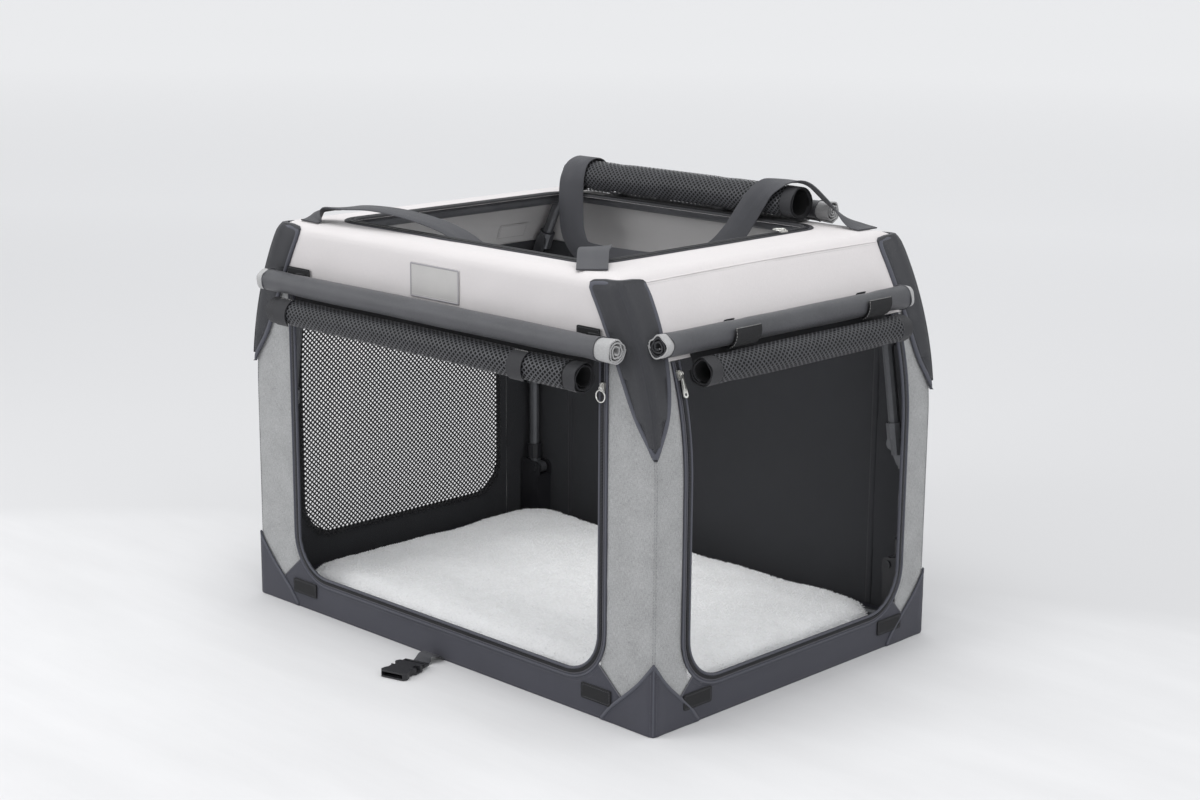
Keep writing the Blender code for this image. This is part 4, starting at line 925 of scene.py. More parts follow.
class CRATE_OT_base_band(bpy.types.Operator):
    """Sews the band round the base, its corner boots and the hook-and-loop patches."""

    bl_idname = "crate.base_band"
    bl_label = "Base band"

    def execute(self, context):
        long_outline = band_outline(LENGTH / 2, FRONT_DOOR_HALF, boot=(0.053, 0.036), shoulder=(0.096, 0.073))
        end_outline = band_outline(WIDTH / 2, END_DOOR_HALF, boot=(0.0475, 0.038), shoulder=(0.0865, 0.079))
        walls = (
            ("front", on_long_wall(-1), long_outline, FRONT_DOOR_HALF, 3.0),
            ("back", on_long_wall(1), long_outline, FRONT_DOOR_HALF, 5.0),
            ("near_end", on_end_wall(1), end_outline, END_DOOR_HALF, 7.0),
            ("far_end", on_end_wall(-1), end_outline, END_DOOR_HALF, 9.0),
        )
        for wall, place, outline, door_half, seed in walls:
            bm = bmesh.new()

            def swell(u, v, seed=seed):
                return waves(u, v, 0.0012, 0.07, seed) * min(1.0, v / 0.03)

            sewn_sheet(bm, outline, place, (-0.0015, 0.0), pitch=0.01, swell=swell)
            for edge in (outline[2:4], [(-x, z) for x, z in outline[2:4]]):
                welt(bm, spaced(edge, 0.006), place, -0.0004, 0.0022, 0.001, material=1)
            hem = [(-door_half - 0.02, 0.0035), (door_half + 0.02, 0.0035)]
            stitch_row(bm, hem, place, 0.0002, material=1)
            clear = ZIP_WIDTH + 0.003
            sill = door_edge(door_half + clear, DOOR_SILL_Z - clear, DOOR_CORNER + 0.014, 0.06)
            stitch_row(bm, sill[3:-3], place, 0.0004, material=1)
            finishes, replaced = ("charcoal cloth", "thread"), ("base_band",) if wall == "front" else ()
            piece = add_piece(f"{wall}_base_band", bm, finishes, replaces=replaced)
            declare_sheet(outline)
        for quarter in QUARTERS:
            self.add_boot(quarter)
        patches = (("front", on_long_wall(-1), (-0.279, 0.2875)), ("end", on_end_wall(1), (-0.19, 0.19)))
        for wall, place, middles in patches:
            for i, middle in enumerate(middles):
                self.add_patch(f"{wall}_patch_{i + 1}", place, middle)
        return {"FINISHED"}

    def add_boot(self, quarter):
        """A corner boot: a kite of cloth round the corner, bound along its upper edges."""
        place = around_corner(*quarter)
        reach_long, reach_end = 0.086, 0.08
        long_knots = ((-reach_long, 0.004), (-0.07, 0.0225), (-0.053, 0.0375), (-0.026, 0.062), (-0.0005, 0.0915))
        end_knots = ((0.0005, 0.0915), (0.022, 0.064), (0.0475, 0.0395), (0.066, 0.022), (reach_end, 0.004))
        edges = [[tuple(point) for point in spline(knots, 6)] for knots in (long_knots, end_knots)]
        outline = [(reach_end, 0.0), *reversed(edges[0] + edges[1]), (-reach_long, 0.0)]
        bm = bmesh.new()

        def swell(u, v):
            ridge = 0.0006 * math.exp(-((u / 0.012) ** 2))
            return 0.0005 + ridge + waves(u, v, 0.0009, 0.05, 11 + quarter[0] + 3 * quarter[1])

        sewn_sheet(bm, outline, place, (-0.0002, 0.0008), pitch=0.0062, swell=swell)
        for edge in edges:
            welt(bm, moved(spaced(edge, 0.004), -0.0022), place, 0.0004, 0.0046, 0.002, material=1)
        welt(bm, spaced(((0.0, 0.002), (0.0, 0.087)), 0.004), place, 0.0008, 0.0022, 0.0013, material=1)
        for side in (-1, 1):
            stitch_row(bm, ((side * 0.0035, 0.004), (side * 0.0035, 0.08)), place, 0.0022, material=2)
        word = corner_word(*quarter)
        piece = add_piece(f"{word}_boot", bm, ("charcoal cloth", "binding tape", "thread"))
        declare_sheet(outline)

    def add_patch(self, name, place, middle):
        """A patch of hook tape that holds a door's flap shut."""
        outline = rounded_rectangle((middle - 0.025, 0.02), (middle + 0.025, 0.04), 0.0025, 3)
        bm = bmesh.new()
        sewn_sheet(bm, outline, place, (0.0009, 0.0022), pitch=0.004)
        stitch_row(bm, moved(outline, 0.0022, True), place, 0.0023, True, 1)
        piece = add_piece(name, bm, ("hook tape", "thread"))


class CRATE_OT_floor_and_mat(bpy.types.Operator):
    """Lays the floor sheet and the padded fleece mat."""

    bl_idname = "crate.floor_and_mat"
    bl_label = "Floor and mat"

    def execute(self, context):
        half_x, half_y = LENGTH / 2 - 0.0018, WIDTH / 2 - 0.0018
        outline = rounded_rectangle((-half_x, -half_y), (half_x, half_y), 0.003, 2)
        bm = bmesh.new()

        def on_floor(u, v, depth):
            return Vector((u, v, max(0.0, depth)))

        sewn_sheet(bm, outline, on_floor, (0.0, 0.0014), pitch=0.03)
        piece = add_piece("floor_cloth", bm, ("floor cloth",), replaces=("floor_sheet",))
        declare_sheet(outline)
        self.add_mat()
        return {"FINISHED"}

    def add_mat(self):
        """The mat: a padded slab with drawn-in sides, swollen by its filling and covered in tufts."""
        low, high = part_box("fleece_mat")
        bm = bmesh.new()
        thick = high.z - low.z
        swell = sizes().mat_swell
        # how far each ring is drawn in, and its share of the height
        insets = (0.007, 0.002, 0.001, 0.004, 0.012, 0.03, 0.08)
        shares = (0.03, 0.2, 0.5, 0.74, 0.87, 0.93, 0.95)
        corner_x, corner_y = 0.031, 0.029
        outline = []
        for a, b in ((1, -1), (1, 1), (-1, 1), (-1, -1)):
            pair = [(high.x - corner_x, high.y), (high.x, high.y - corner_y)]
            if a * b > 0:
                pair.reverse()
            outline += [(a * x, b * y) for x, y in pair]
        outline = spaced(outline, 0.016, True)
        rings = []
        for inset, share in zip(insets, shares):
            scale_x, scale_y = 1 - inset / high.x, 1 - inset / high.y
            z = low.z + share * thick
            rings.append([bm.verts.new((point.x * scale_x, point.y * scale_y, z)) for point in outline])
        for first, second in zip(rings, rings[1:]):
            for i in range(len(first)):
                bm.faces.new((first[i - 1], first[i], second[i], second[i - 1]))
        bm.faces.new(rings[0][::-1])
        bm.faces.new(rings[-1])
        bmesh.ops.recalc_face_normals(bm, faces=bm.faces[:])
        mat = add_object("fleece_mat_top", finished_mesh("fleece_mat_top", bm))
        remesh = mat.modifiers.new("even", "REMESH")
        remesh.mode = "VOXEL"
        remesh.voxel_size = 0.0085
        bake(mat)
        fill(mat, 4.0, swell)
        rest = low.z + 0.0002
        for vert in mat.data.vertices:
            vert.co.x = max(-high.x - 0.002, min(vert.co.x, high.x + 0.002))
            vert.co.y = max(-high.y - 0.001, min(vert.co.y, high.y + 0.001))
            vert.co.z = max(rest, min(vert.co.z, high.z + 0.004))
            if vert.co.z > rest + 0.006:
                x, y = vert.co.xy
                vert.co.z += waves(x, y, 0.0028, 0.06, 21.0) + waves(x, y, 0.0016, 0.016, 23.0)
        smooth = mat.modifiers.new("round", "SUBSURF")
        smooth.levels = 1
        smooth.render_levels = 1
        bake(mat)
        add_pile(mat, sizes().pile)
        mat.data.materials.append(bpy.data.materials["curled fleece"])
        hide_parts("fleece_mat")
        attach(mat, "root")


def bake(piece):
    """Turns a piece's modifiers into its mesh."""
    graph = bpy.context.evaluated_depsgraph_get()
    graph.update()
    mesh = bpy.data.meshes.new_from_object(piece.evaluated_get(graph))
    piece.modifiers.clear()
    piece.data = mesh
    for polygon in mesh.polygons:
        polygon.use_smooth = True


def fill(piece, pressure, cap):
    """Swells a padded piece with its filling, and caps how far any point moves."""
    before = [vert.co.copy() for vert in piece.data.vertices]
    cloth = piece.modifiers.new("filling", "CLOTH")
    cloth.settings.use_pressure = True
    cloth.settings.uniform_pressure_force = pressure
    cloth.settings.effector_weights.gravity = 0.0
    cloth.settings.quality = 4
    cloth.collision_settings.use_collision = False
    cloth.point_cache.frame_start = 1
    cloth.point_cache.frame_end = 14
    scene = bpy.context.scene
    for step in range(1, 15):
        scene.frame_set(step)
    bake(piece)
    scene.frame_set(1)
    for vert, start in zip(piece.data.vertices, before):
        travel = vert.co - start
        if travel.length > cap:
            vert.co = start + travel.normalized() * cap


def add_pile(piece, length):
    """Adds tufts of fleece to the top and sides of a mat, leaning every way."""
    mesh = piece.data
    bm = bmesh.new()
    bm.from_mesh(mesh)
    faces = [face for face in bm.faces if face.normal.z > -0.2]
    noise.seed_set(1)  # without a seed, the vectors follow the clock
    for n, face in enumerate(faces):
        seat = face.calc_center_median()
        for k in range(2):
            spot = seat * 190 + Vector((k * 7.3, n * 0.13, 0.0))
            lean = noise.noise_vector(spot)
            base = seat + Vector((lean.y, lean.z, 0.0)) * 0.0042
            base -= face.normal * 0.0006
            tip = base + (face.normal * 0.45 + lean * 1.1).normalized() * length * (0.6 + 0.5 * abs(lean.x))
            aside = face.normal.cross(lean).normalized() * length * 0.28
            bend = (base + tip) / 2 + lean.cross(face.normal) * length * 0.3
            corners = (base - aside, base + aside, bend + aside * 0.8, bend - aside * 0.8)
            verts = [bm.verts.new(point) for point in corners]
            tip_vert = bm.verts.new(tip)
            for blade in (verts, (verts[3], verts[2], tip_vert)):
                bm.faces.new(blade).smooth = True
    bm.to_mesh(mesh)
    bm.free()


# Walls and window


class CRATE_OT_walls(bpy.types.Operator):
    """Sews the heathered corner panels, the back wall and the far end wall with its net window."""

    bl_idname = "crate.walls"
    bl_label = "Walls"

    def execute(self, context):
        low, high = WALL_Z
        heights = [low + (high - low) * i / 30 for i in range(31)]
        end = WIDTH / 2 - PANEL_EDGE_Y
        outline = [(end, low), (end, high)] + [(PANEL_EDGE_X - end_x(z), z) for z in reversed(heights)]
        for quarter in QUARTERS:
            bm = bmesh.new()
            place = around_corner(*quarter)
            seed = 30 + quarter[0] + 2.5 * quarter[1]

            def swell(u, v, seed=seed):
                flat = min(1.0, abs(u) / 0.02)
                return waves(u, v, 0.0016, 0.1, seed) * flat + waves(u, v, 0.0005, 0.022, seed + 1)

            sewn_sheet(bm, outline, place, WALL_DEPTHS, pitch=0.0105, swell=swell, lining=1)
            welt(bm, spaced(((0.0, low + 0.004), (0.0, 0.37)), 0.008), place, -0.002, 0.0018, 0.0011)
            for side in (-1, 1):
                stitch_row(bm, ((side * 0.003, 0.088), (side * 0.003, 0.36)), place, -0.0016, material=2)
            word = corner_word(*quarter)
            finishes = ("heather cloth", "dark lining", "thread")
            piece = add_piece(f"{word}_panel", bm, finishes, replaces=(f"{word}_corner_panel",))
            declare_sheet(outline)
            crumple(piece, low)

        half = PANEL_EDGE_X - GAP
        outline = rectangle((-half, low), (half, high))
        bm = bmesh.new()
        place = on_long_wall(1)

        def slack(u, v):
            return waves(u, v, 0.0016, 0.14, 41.0)

        sewn_sheet(bm, outline, place, WALL_DEPTHS, pitch=0.014, swell=slack, lining=1)
        for side in (-1, 1):
            edge = spaced(((side * half, low + 0.001), (side * half, high - 0.001)), 0.02)
            welt(bm, edge, place, -0.002, 0.008, 0.0016, material=2)
            welt(bm, edge, place, -0.0031, 0.01, -0.0014, material=1)
            inset = side * (half - 0.01)
            stitch_row(bm, ((inset, 0.09), (inset, 0.44)), place, -0.0014, material=3)
        finishes = ("charcoal cloth", "dark lining", "binding tape", "thread")
        piece = add_piece("back_wall", bm, finishes, replaces=("back_panel",))
        declare_sheet(outline)
        crumple(piece, low)

        self.add_window(low, high)
        return {"FINISHED"}

    def add_window(self, low, high):
        """The far end wall, and the net that hangs in its window."""
        place = on_end_wall(-1)
        half = PANEL_EDGE_Y - GAP
        outline = rectangle((-half, low), (half, high))
        window = door_edge(WINDOW_HALF, WINDOW_Z[0], DOOR_CORNER, WINDOW_Z[1])
        bm = bmesh.new()
        sewn_sheet(bm, outline, place, WALL_DEPTHS, (window,), lining=1)
        path = spaced(window, 0.008, True)
        welt(bm, path, place, -0.0022, 0.0085, 0.0022, True, 2)
        stitch_row(bm, moved(path, -0.0052, True), place, -0.0012, True, 3)
        finishes = ("charcoal cloth", "dark lining", "dark binding", "thread")
        piece = add_piece("far_end_wall", bm, finishes, replaces=("far_end_panel",))
        declare_sheet(outline, (window,))
        crumple(piece, low)

        bm = bmesh.new()
        bottom, top = WINDOW_Z
        hidden = 0.004  # how far the net reaches behind the window's binding

        def inside(u, v):
            if abs(u) > WINDOW_HALF + hidden or not bottom - hidden < v < top + hidden:
                return False
            corner_u, corner_v = abs(u) - WINDOW_HALF + DOOR_CORNER, bottom + DOOR_CORNER - v
            return corner_u < 0 or corner_v < 0 or math.hypot(corner_u, corner_v) < DOOR_CORNER + hidden

        middle_z, half_height = (bottom + top) / 2, (top - bottom) / 2

        def sagging(u, v, depth):
            middle = max(0.0, 1 - (u / WINDOW_HALF) ** 2) * max(0.0, 1 - ((v - middle_z) / half_height) ** 2)
            return place(u, v, -0.0046 - 0.0022 * middle + waves(u, v, 0.0008, 0.09, 51.0))

        reach = WINDOW_HALF + hidden
        net(bm, sagging, (-reach, bottom - hidden), (reach, top + hidden), inside=inside)
        piece = add_piece("window_mesh", bm, ("net cord",), replaces=("window_net",))
        piece.modifiers.new("strand", "SOLIDIFY").thickness = 0.0005
        crumple(piece, low)


class CRATE_OT_zips(bpy.types.Operator):
    """Sews the zips round the three doors, and hangs their sliders and pulls."""

    bl_idname = "crate.zips"
    bl_label = "Zips"

    def execute(self, context):
        top = COVER_Z - 0.0008
        doors = (
            ("front_door_zip", on_long_wall(-1), FRONT_DOOR_HALF, "front_door_tape"),
            ("end_door_zip", on_end_wall(1), END_DOOR_HALF, "end_door_tape"),
        )
        for node, place, half, name in doors:
            bm = bmesh.new()
            outer = door_edge(half + ZIP_WIDTH, DOOR_SILL_Z - ZIP_WIDTH, DOOR_CORNER + ZIP_WIDTH, top)
            inner = door_edge(half, DOOR_SILL_Z, DOOR_CORNER, top)
            outline = outer + inner[::-1]
            sewn_sheet(bm, outline, place, (-0.0015, 0.0))
            edge = spaced(inner, 0.009)
            # two bindings, the teeth between them and the line of thread beside the teeth
            welt(bm, moved(edge, -0.0018), place, -0.0008, 0.0036, 0.0026, material=1)
            welt(bm, moved(edge, -0.0124), place, -0.0006, 0.003, 0.0016, material=1)
            teeth(bm, moved(edge, -0.0058), place, 0.0002, (0.0038, 0.0011))
            welt(bm, moved(edge, -0.0086), place, -0.0002, 0.0014, 0.0007, material=2)
            for face in bm.faces:
                if len(face.verts) == 4 and face.calc_area() < 8e-6 and face.material_index == 0:
                    face.material_index = 3
            finishes = ("charcoal cloth", "binding tape", "thread", "zip teeth")
            piece = add_piece(name, bm, finishes, replaces=(node,))
            path_length(inner)
            crumple(piece, DOOR_SILL_Z - ZIP_WIDTH)
        self.add_roof_zip()
        for word, place, kind in self.slider_places():
            self.add_slider(word, place)
            self.add_pull(word, place, kind)
        return {"FINISHED"}

    def slider_places(self):
        """Where each slider sits: on the middle line of its zip."""
        front_z, end_z, roof_y = 0.412, 0.428, 0.14

        def on_front_zip(u, v, depth):
            return Vector((FRONT_DOOR_HALF + ZIP_WIDTH / 2 + u, -WIDTH / 2 - depth, front_z + v))

        middle = Vector((end_x(end_z), -END_DOOR_HALF - ZIP_WIDTH / 2, end_z))
        outward = Vector((middle.x - LENGTH / 2 + LEAN_RADIUS, 0.0, end_z - LEAN_START)).normalized()
        upward = Vector((-outward.z, 0.0, outward.x))
        across = Vector((0.0, 1.0, 0.0))

        def on_end_zip(u, v, depth):
            return middle + u * across + v * upward + (depth + GAP) * outward

        def on_roof_zip(u, v, depth):
            return Vector((ROOF_HOLE_X[1] + ZIP_WIDTH / 2 + u, roof_y + v, HEIGHT + 0.0015 + depth))

        return ("front", on_front_zip, "ring"), ("end", on_end_zip, "paddle"), ("roof", on_roof_zip, "ring")

    def add_roof_zip(self):
        """The zip round the roof's opening."""
        bm = bmesh.new()
        low, high = (ROOF_HOLE_X[0], -ROOF_HOLE_HALF_Y), (ROOF_HOLE_X[1], ROOF_HOLE_HALF_Y)
        inner = rounded_rectangle(low, high, ROOF_HOLE_CORNER)
        outer_low, outer_high = [value - ZIP_WIDTH for value in low], [value + ZIP_WIDTH for value in high]
        outer = rounded_rectangle(outer_low, outer_high, ROOF_HOLE_CORNER + ZIP_WIDTH)
        sewn_sheet(bm, outer, on_roof, (0.0003, 0.0012), (inner,), pitch=0.014)
        edge = spaced(inner, 0.01, True)
        welt(bm, moved(edge, -0.0008, True), on_roof, -0.0006, 0.005, 0.0034, True, 1)
        welt(bm, moved(edge, -0.0122, True), on_roof, 0.0004, 0.0032, 0.0018, True, 1)
        before = len(bm.faces)
        teeth(bm, moved(edge, -0.0066, True), on_roof, 0.0012, (0.004, 0.001), True)
        paint_from(bm, before, 2)
        finishes = ("charcoal cloth", "dark binding", "zip teeth")
        piece = add_piece("roof_door_tape", bm, finishes, "top", ("roof_door_zip",))
        path_length(inner, True)

    def add_slider(self, word, place):
        """A zip's slider, with the bail that its pull hangs from."""
        right = [(0.003, -0.006), (0.0038, -0.001), (0.0045, 0.004), (0.003, 0.006)]
        outline = [(-0.003, -0.006), *right] + [(-u, v) for u, v in right[:0:-1]]
        bm = bmesh.new()
        solid_block(bm, outline, place, 0.0003, 0.0012)
        solid_block(bm, [(u * 0.9, v * 0.92) for u, v in outline], place, 0.0016, 0.0027)
        solid_block(bm, rectangle((-0.0012, -0.0045), (0.0012, 0.0045)), place, 0.001, 0.002)
        knots = ((-0.0035, 0.0026), (-0.003, 0.004), (0.0005, 0.0045), (0.0042, 0.004), (0.0046, 0.0026))
        bail = spline([(0.0, v, depth) for v, depth in knots], 4)
        tube(bm, [place(*point) for point in bail], 0.0006)
        name, replaced = f"{word}_slider", (f"{word}_zip_slider",)
        piece = add_piece(name, bm, ("bright nickel",), name, replaced)
        piece.modifiers.new("edge", "BEVEL").width = 0.0003

    def add_pull(self, word, place, kind):
        """A zip's pull, a ring or a paddle on a link."""
        bm = bmesh.new()
        hinge, above, wire = 0.0035, 0.005, 0.0006
        link_drop, link_radius = (0.005, 0.0024) if kind == "ring" else (0.0022, 0.0026)
        link = arc((0.0, hinge - link_drop), link_radius, 0, 360, 18)[:-1]
        tube(bm, [place(u, v, above) for u, v in link], wire, closed=True)
        if kind == "ring":
            ring = arc((0.0, hinge - 0.014), 0.0072, 0, 360, 30)[:-1]
            tube(bm, [place(u, v, above + 0.0004 * math.sin(6 * v)) for u, v in ring], 0.0008, closed=True)
        else:
            middle = (0.0, hinge - 0.027)
            waist = [(0.003, hinge - 0.017), (0.0022, hinge - 0.006), (0.0012, hinge - 0.0035)]
            outer = arc(middle, 0.0042, 200, 340, 10) + waist + [(-u, v) for u, v in reversed(waist)]
            sewn_sheet(bm, outer, place, (0.0044, 0.0056), (arc(middle, 0.0018, 0, 345, 12),), pitch=0.01)
            groove = [(0.0, hinge - 0.008), (0.0, hinge - 0.022)]
            welt(bm, spaced(groove, 0.002), place, 0.0055, 0.0016, 0.0004)
        add_piece(f"{word}_pull", bm, ("bright nickel",), f"{word}_pull", (f"{word}_zip_pull",))


# Upper cover


def ring_points(low, high, radius):
    """Points of a rounded rectangle, with the same number on each side whatever its size."""
    middles = rectangle((low[0] + radius, low[1] + radius), (high[0] - radius, high[1] - radius))
    turns = [arc(middles[(n + 1) % 4], radius, 270 + 90 * n, 360 + 90 * n, 5) for n in range(4)]
    points = []
    for n, turn in enumerate(turns):
        points += turn
        start, end = Vector(turn[-1]), Vector(turns[(n + 1) % 4][0])
        count = 30 if n % 2 == 0 else 44
        points += [tuple(start.lerp(end, i / count)) for i in range(1, count)]
    return points


class CRATE_OT_cover(bpy.types.Operator):
    """Sews the stiff upper cover, its corner guards and the bare badge."""

    bl_idname = "crate.cover"
    bl_label = "Upper cover"

    def execute(self, context):
        self.add_shell()
        for quarter in QUARTERS:
            self.add_guard(quarter)
        self.add_badge()
        self.add_pocket()
        return {"FINISHED"}

    def add_shell(self):
        """The cover's cloth, up its four sides and in over the roof to the edge of the opening."""
        bm = bmesh.new()
        ripple = sizes().ripple
        shoulder_z = 0.524
        heights = [COVER_Z + (shoulder_z - COVER_Z) * i / 9 for i in range(10)] + [0.5305, 0.5365, HEIGHT]
        rings, mapped = [], []
        travelled = 0.0
        for i, z in enumerate(heights):
            round_off = 0.006 if z > 0.54 else 0.0018 if z > 0.536 else 0.0
            x, y = end_x(z) - round_off, side_y(z)
            points = ring_points((-x, -y), (x, y), CORNER_RADIUS)
            if i:
                travelled += z - heights[i - 1]
            ring, spots, along = [], [], 0.0
            for n, (px, py) in enumerate(points):
                if n:
                    along += math.hypot(px - points[n - 1][0], py - points[n - 1][1])
                off_hem = min(1.0, (z - COVER_Z) / 0.02 + 0.4)
                off_corner = min(1.0, abs(abs(px) - x) / 0.03 + abs(abs(py) - y) / 0.03)
                rise = off_hem * off_corner * waves(along, z * 0.7, ripple, 0.085, 61.0)
                out_x = math.copysign(rise, px) if abs(px) > x - 1e-4 else 0.0
                out_y = math.copysign(rise, py) if abs(px) <= x - 1e-4 and abs(py) > y - 1e-4 else 0.0
                ring.append(bm.verts.new((px + out_x, py + out_y, z)))
                spots.append((along, travelled))
            rings.append(ring)
            mapped.append(spots)
        outer = [vert.co.copy() for vert in rings[-1]]
        hole_low, hole_high = (ROOF_HOLE_X[0], -ROOF_HOLE_HALF_Y), (ROOF_HOLE_X[1], ROOF_HOLE_HALF_Y)
        hole = ring_points(hole_low, hole_high, ROOF_HOLE_CORNER)
        steps = 7
        for i in range(1, steps + 1):
            ring, spots = [], []
            for start, end in zip(outer, hole):
                spot = Vector((start.x, start.y)).lerp(Vector(end), i / steps)
                slack = math.sin(math.pi * i / steps)
                rise = waves(spot.x, spot.y, 0.0009, 0.09, 71.0) * slack
                ring.append(bm.verts.new((spot.x, spot.y, HEIGHT + rise)))
                spots.append((spot.x, spot.y))
            rings.append(ring)
            mapped.append(spots)
        edge = len(heights) - 1
        for n in range(len(rings) - 1):
            first, second = rings[n], rings[n + 1]
            for i in range(len(first)):
                j = (i + 1) % len(first)
                if n < edge:
                    spots = [mapped[n][i], mapped[n][j], mapped[n + 1][j], mapped[n + 1][i]]
                    if j == 0:
                        wrap = mapped[n][i][0] + 0.004
                        spots[1], spots[2] = (wrap, spots[1][1]), (wrap, spots[2][1])
                else:
                    spots = [tuple(vert.co.xy) for vert in (first[i], first[j], second[j], second[i])]
                add_face(bm, (first[i], first[j], second[j], second[i]), spots)
        # the cover's inner face takes the greyer lining: painted shade
        finishes = ("cover cloth", "cover lining")
        shell = add_piece("cover_shell", bm, finishes, "top", ("upper_cover",))
        thick = shell.modifiers.new("lining", "SOLIDIFY")
        thick.thickness = 0.0014
        thick.offset = -1.0
        thick.material_offset = 1
        thick.material_offset_rim = 0
        hole = (ROOF_HOLE_X[1] - ROOF_HOLE_X[0]) * 2 * ROOF_HOLE_HALF_Y
        self.add_seams()

    def add_seams(self):
        """Seams, hems and top-stitching of the cover."""
        bm = bmesh.new()
        long_half, end_half = 0.338, 0.226  # half-lengths of the hems, between the guards
        for side in (-1, 1):
            for place, half in ((on_long_wall(side), long_half), (on_end_wall(side), end_half)):
                hem = spaced(((-half, COVER_Z + 0.0025), (half, COVER_Z + 0.0025)), 0.012)
                welt(bm, hem, place, -0.0002, 0.0046, 0.0012)
                stitch_row(bm, ((-half, COVER_Z + 0.0075), (half, COVER_Z + 0.0075)), place, 0.0004, material=1)
        seam = spline(((-0.218, 0.5325), (-0.12, 0.5335), (0.0, 0.534), (0.12, 0.5335), (0.218, 0.5325)), 8)
        for side in (-1, 1):
            welt(bm, seam, on_end_wall(side), -0.0003, 0.0016, 0.001)
            stitch_row(bm, moved(seam, -0.0028), on_end_wall(side), 0.0004, material=1)
        for side_of_x, side_of_y in QUARTERS:
            near = ROOF_HOLE_X[1] if side_of_x > 0 else -ROOF_HOLE_X[0]
            start, end = side_of_y * (ROOF_HOLE_HALF_Y + 0.016), side_of_y * (WIDTH / 2 - 0.018)
            for shift in (0.002, 0.008):
                x = side_of_x * (near + shift)
                stitch_row(bm, ((x, start), (x, end)), on_roof, 0.0004, material=1)
        add_piece("cover_seams", bm, ("cover cloth", "pale thread"), "top")

    def add_guard(self, quarter):
        """A padded corner guard: bound round its edge, with a seam down its ridge."""
        place = around_corner(*quarter)
        widths = ((0.0012, 0.338), (0.01, 0.352), (0.028, 0.384), (0.039, 0.427), (0.045, 0.478), (0.047, 0.518))
        top = [(0.0462, 0.5275), (0.0425, 0.5335), (0.036, 0.5365), (0.02, 0.5382), (0.0, 0.5388)]
        right = [tuple(point) for point in spline(widths, 5) + [Vector(point) for point in top]]
        outline = right + [(-u, v) for u, v in reversed(right[:-1])]
        bm = bmesh.new()

        def swell(u, v):
            edge = 1.0
            for width, z in widths:
                if v > z:
                    edge = width
            inset = max(0.0, min(1.0, (edge - abs(u)) / 0.012))
            ridge = 0.0016 * math.exp(-((u / 0.01) ** 2))
            crown = 0.0022 * math.sin(math.pi / 2 * inset)
            return crown + ridge + waves(u, v, 0.0008, 0.045, 81 + quarter[0] + 2 * quarter[1])

        sewn_sheet(bm, outline, place, (0.0004, 0.0016), pitch=0.006, swell=swell)
        for vert in bm.verts:
            vert.co.z = min(vert.co.z, HEIGHT + 0.0005)
        bound = spaced(outline, 0.005, True)
        welt(bm, moved(bound, 0.0034, True), place, 0.0006, 0.007, 0.0034, True, 1, 8)
        # a thin dark rib along the binding's inner edge: painted shade, standing in for the groove between the
        # binding and the guard's face
        welt(bm, moved(bound, 0.0074, True), place, 0.0018, 0.0014, 0.001, True, 3)
        welt(bm, spaced(((0.0, 0.35), (0.0, 0.52)), 0.006), place, 0.0036, 0.0026, 0.002)
        stitch_row(bm, moved(bound, 0.0096, True), place, 0.0034, True, 2)
        word = corner_word(*quarter)
        finishes = ("guard cloth", "binding tape", "thread", "dark binding")
        piece = add_piece(f"{word}_corner_guard", bm, finishes, "top", (f"{word}_guard",))
        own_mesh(piece)

    def add_badge(self):
        """The bare badge: a stitched plate with a raised border."""
        low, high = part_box("badge")
        place = on_long_wall(-1)
        half, middle, tall = (high.x - low.x) / 2, (low.z + high.z) / 2, (high.z - low.z) / 2
        bm = bmesh.new()
        outline = rounded_rectangle((-half, middle - tall), (half, middle + tall), 0.0025)
        sewn_sheet(bm, outline, place, (0.0004, 0.0016), pitch=0.02)
        welt(bm, moved(spaced(outline, 0.006, True), 0.0012, True), place, 0.0012, 0.0024, 0.0011, True, 1)
        stitch_row(bm, moved(outline, 0.004, True), place, 0.0016, True, 2)
        finishes = ("badge rubber", "badge border", "pale thread")
        add_piece("bare_badge", bm, finishes, "top", ("badge",))

    def add_pocket(self):
        """The stitched tunnel for the label inside the far end of the cover."""
        place = on_end_wall(-1)
        bm = bmesh.new()
        outline = rectangle((0.16, 0.464), (0.216, 0.486))
        sewn_sheet(bm, outline, place, (-0.0024, -0.0018), pitch=0.02)
        inner = moved(spaced(outline, 0.004, True), 0.0018, True)
        stitch_row(bm, inner, place, -0.0028, True, 1)
        # the pocket takes the cover's greyer lining: painted shade
        piece = add_piece("cover_inner_patch", bm, ("cover lining", "thread"), "top")


# Rolls


class Roll(NamedTuple):
    """Where a roll lies and what it measures; it starts at an angle in degrees."""

    name: str
    place: object
    radius: float
    span: tuple
    ties: tuple
    seed: int
    start: float = 180.0


def along_front(z, radius):
    """Places (across, up, along) round the middle of a roll on the front wall."""
    y = WIDTH / 2 + OFF_GUARD + radius
    return lambda across, up, along: Vector((along, -y - across, z + up))


def along_end(z, radius, side=1):
    """Places (across, up, along) round the middle of a roll on the near (+1) or far (-1) end wall."""
    x = end_x(z, OFF_GUARD + radius)
    return lambda across, up, along: Vector((side * (x + across), along, z + up))


def along_roof(y, z):
    """Places (across, up, along) round the middle of a roll on the roof."""
    return lambda across, up, along: Vector((along, y + across, z + up))


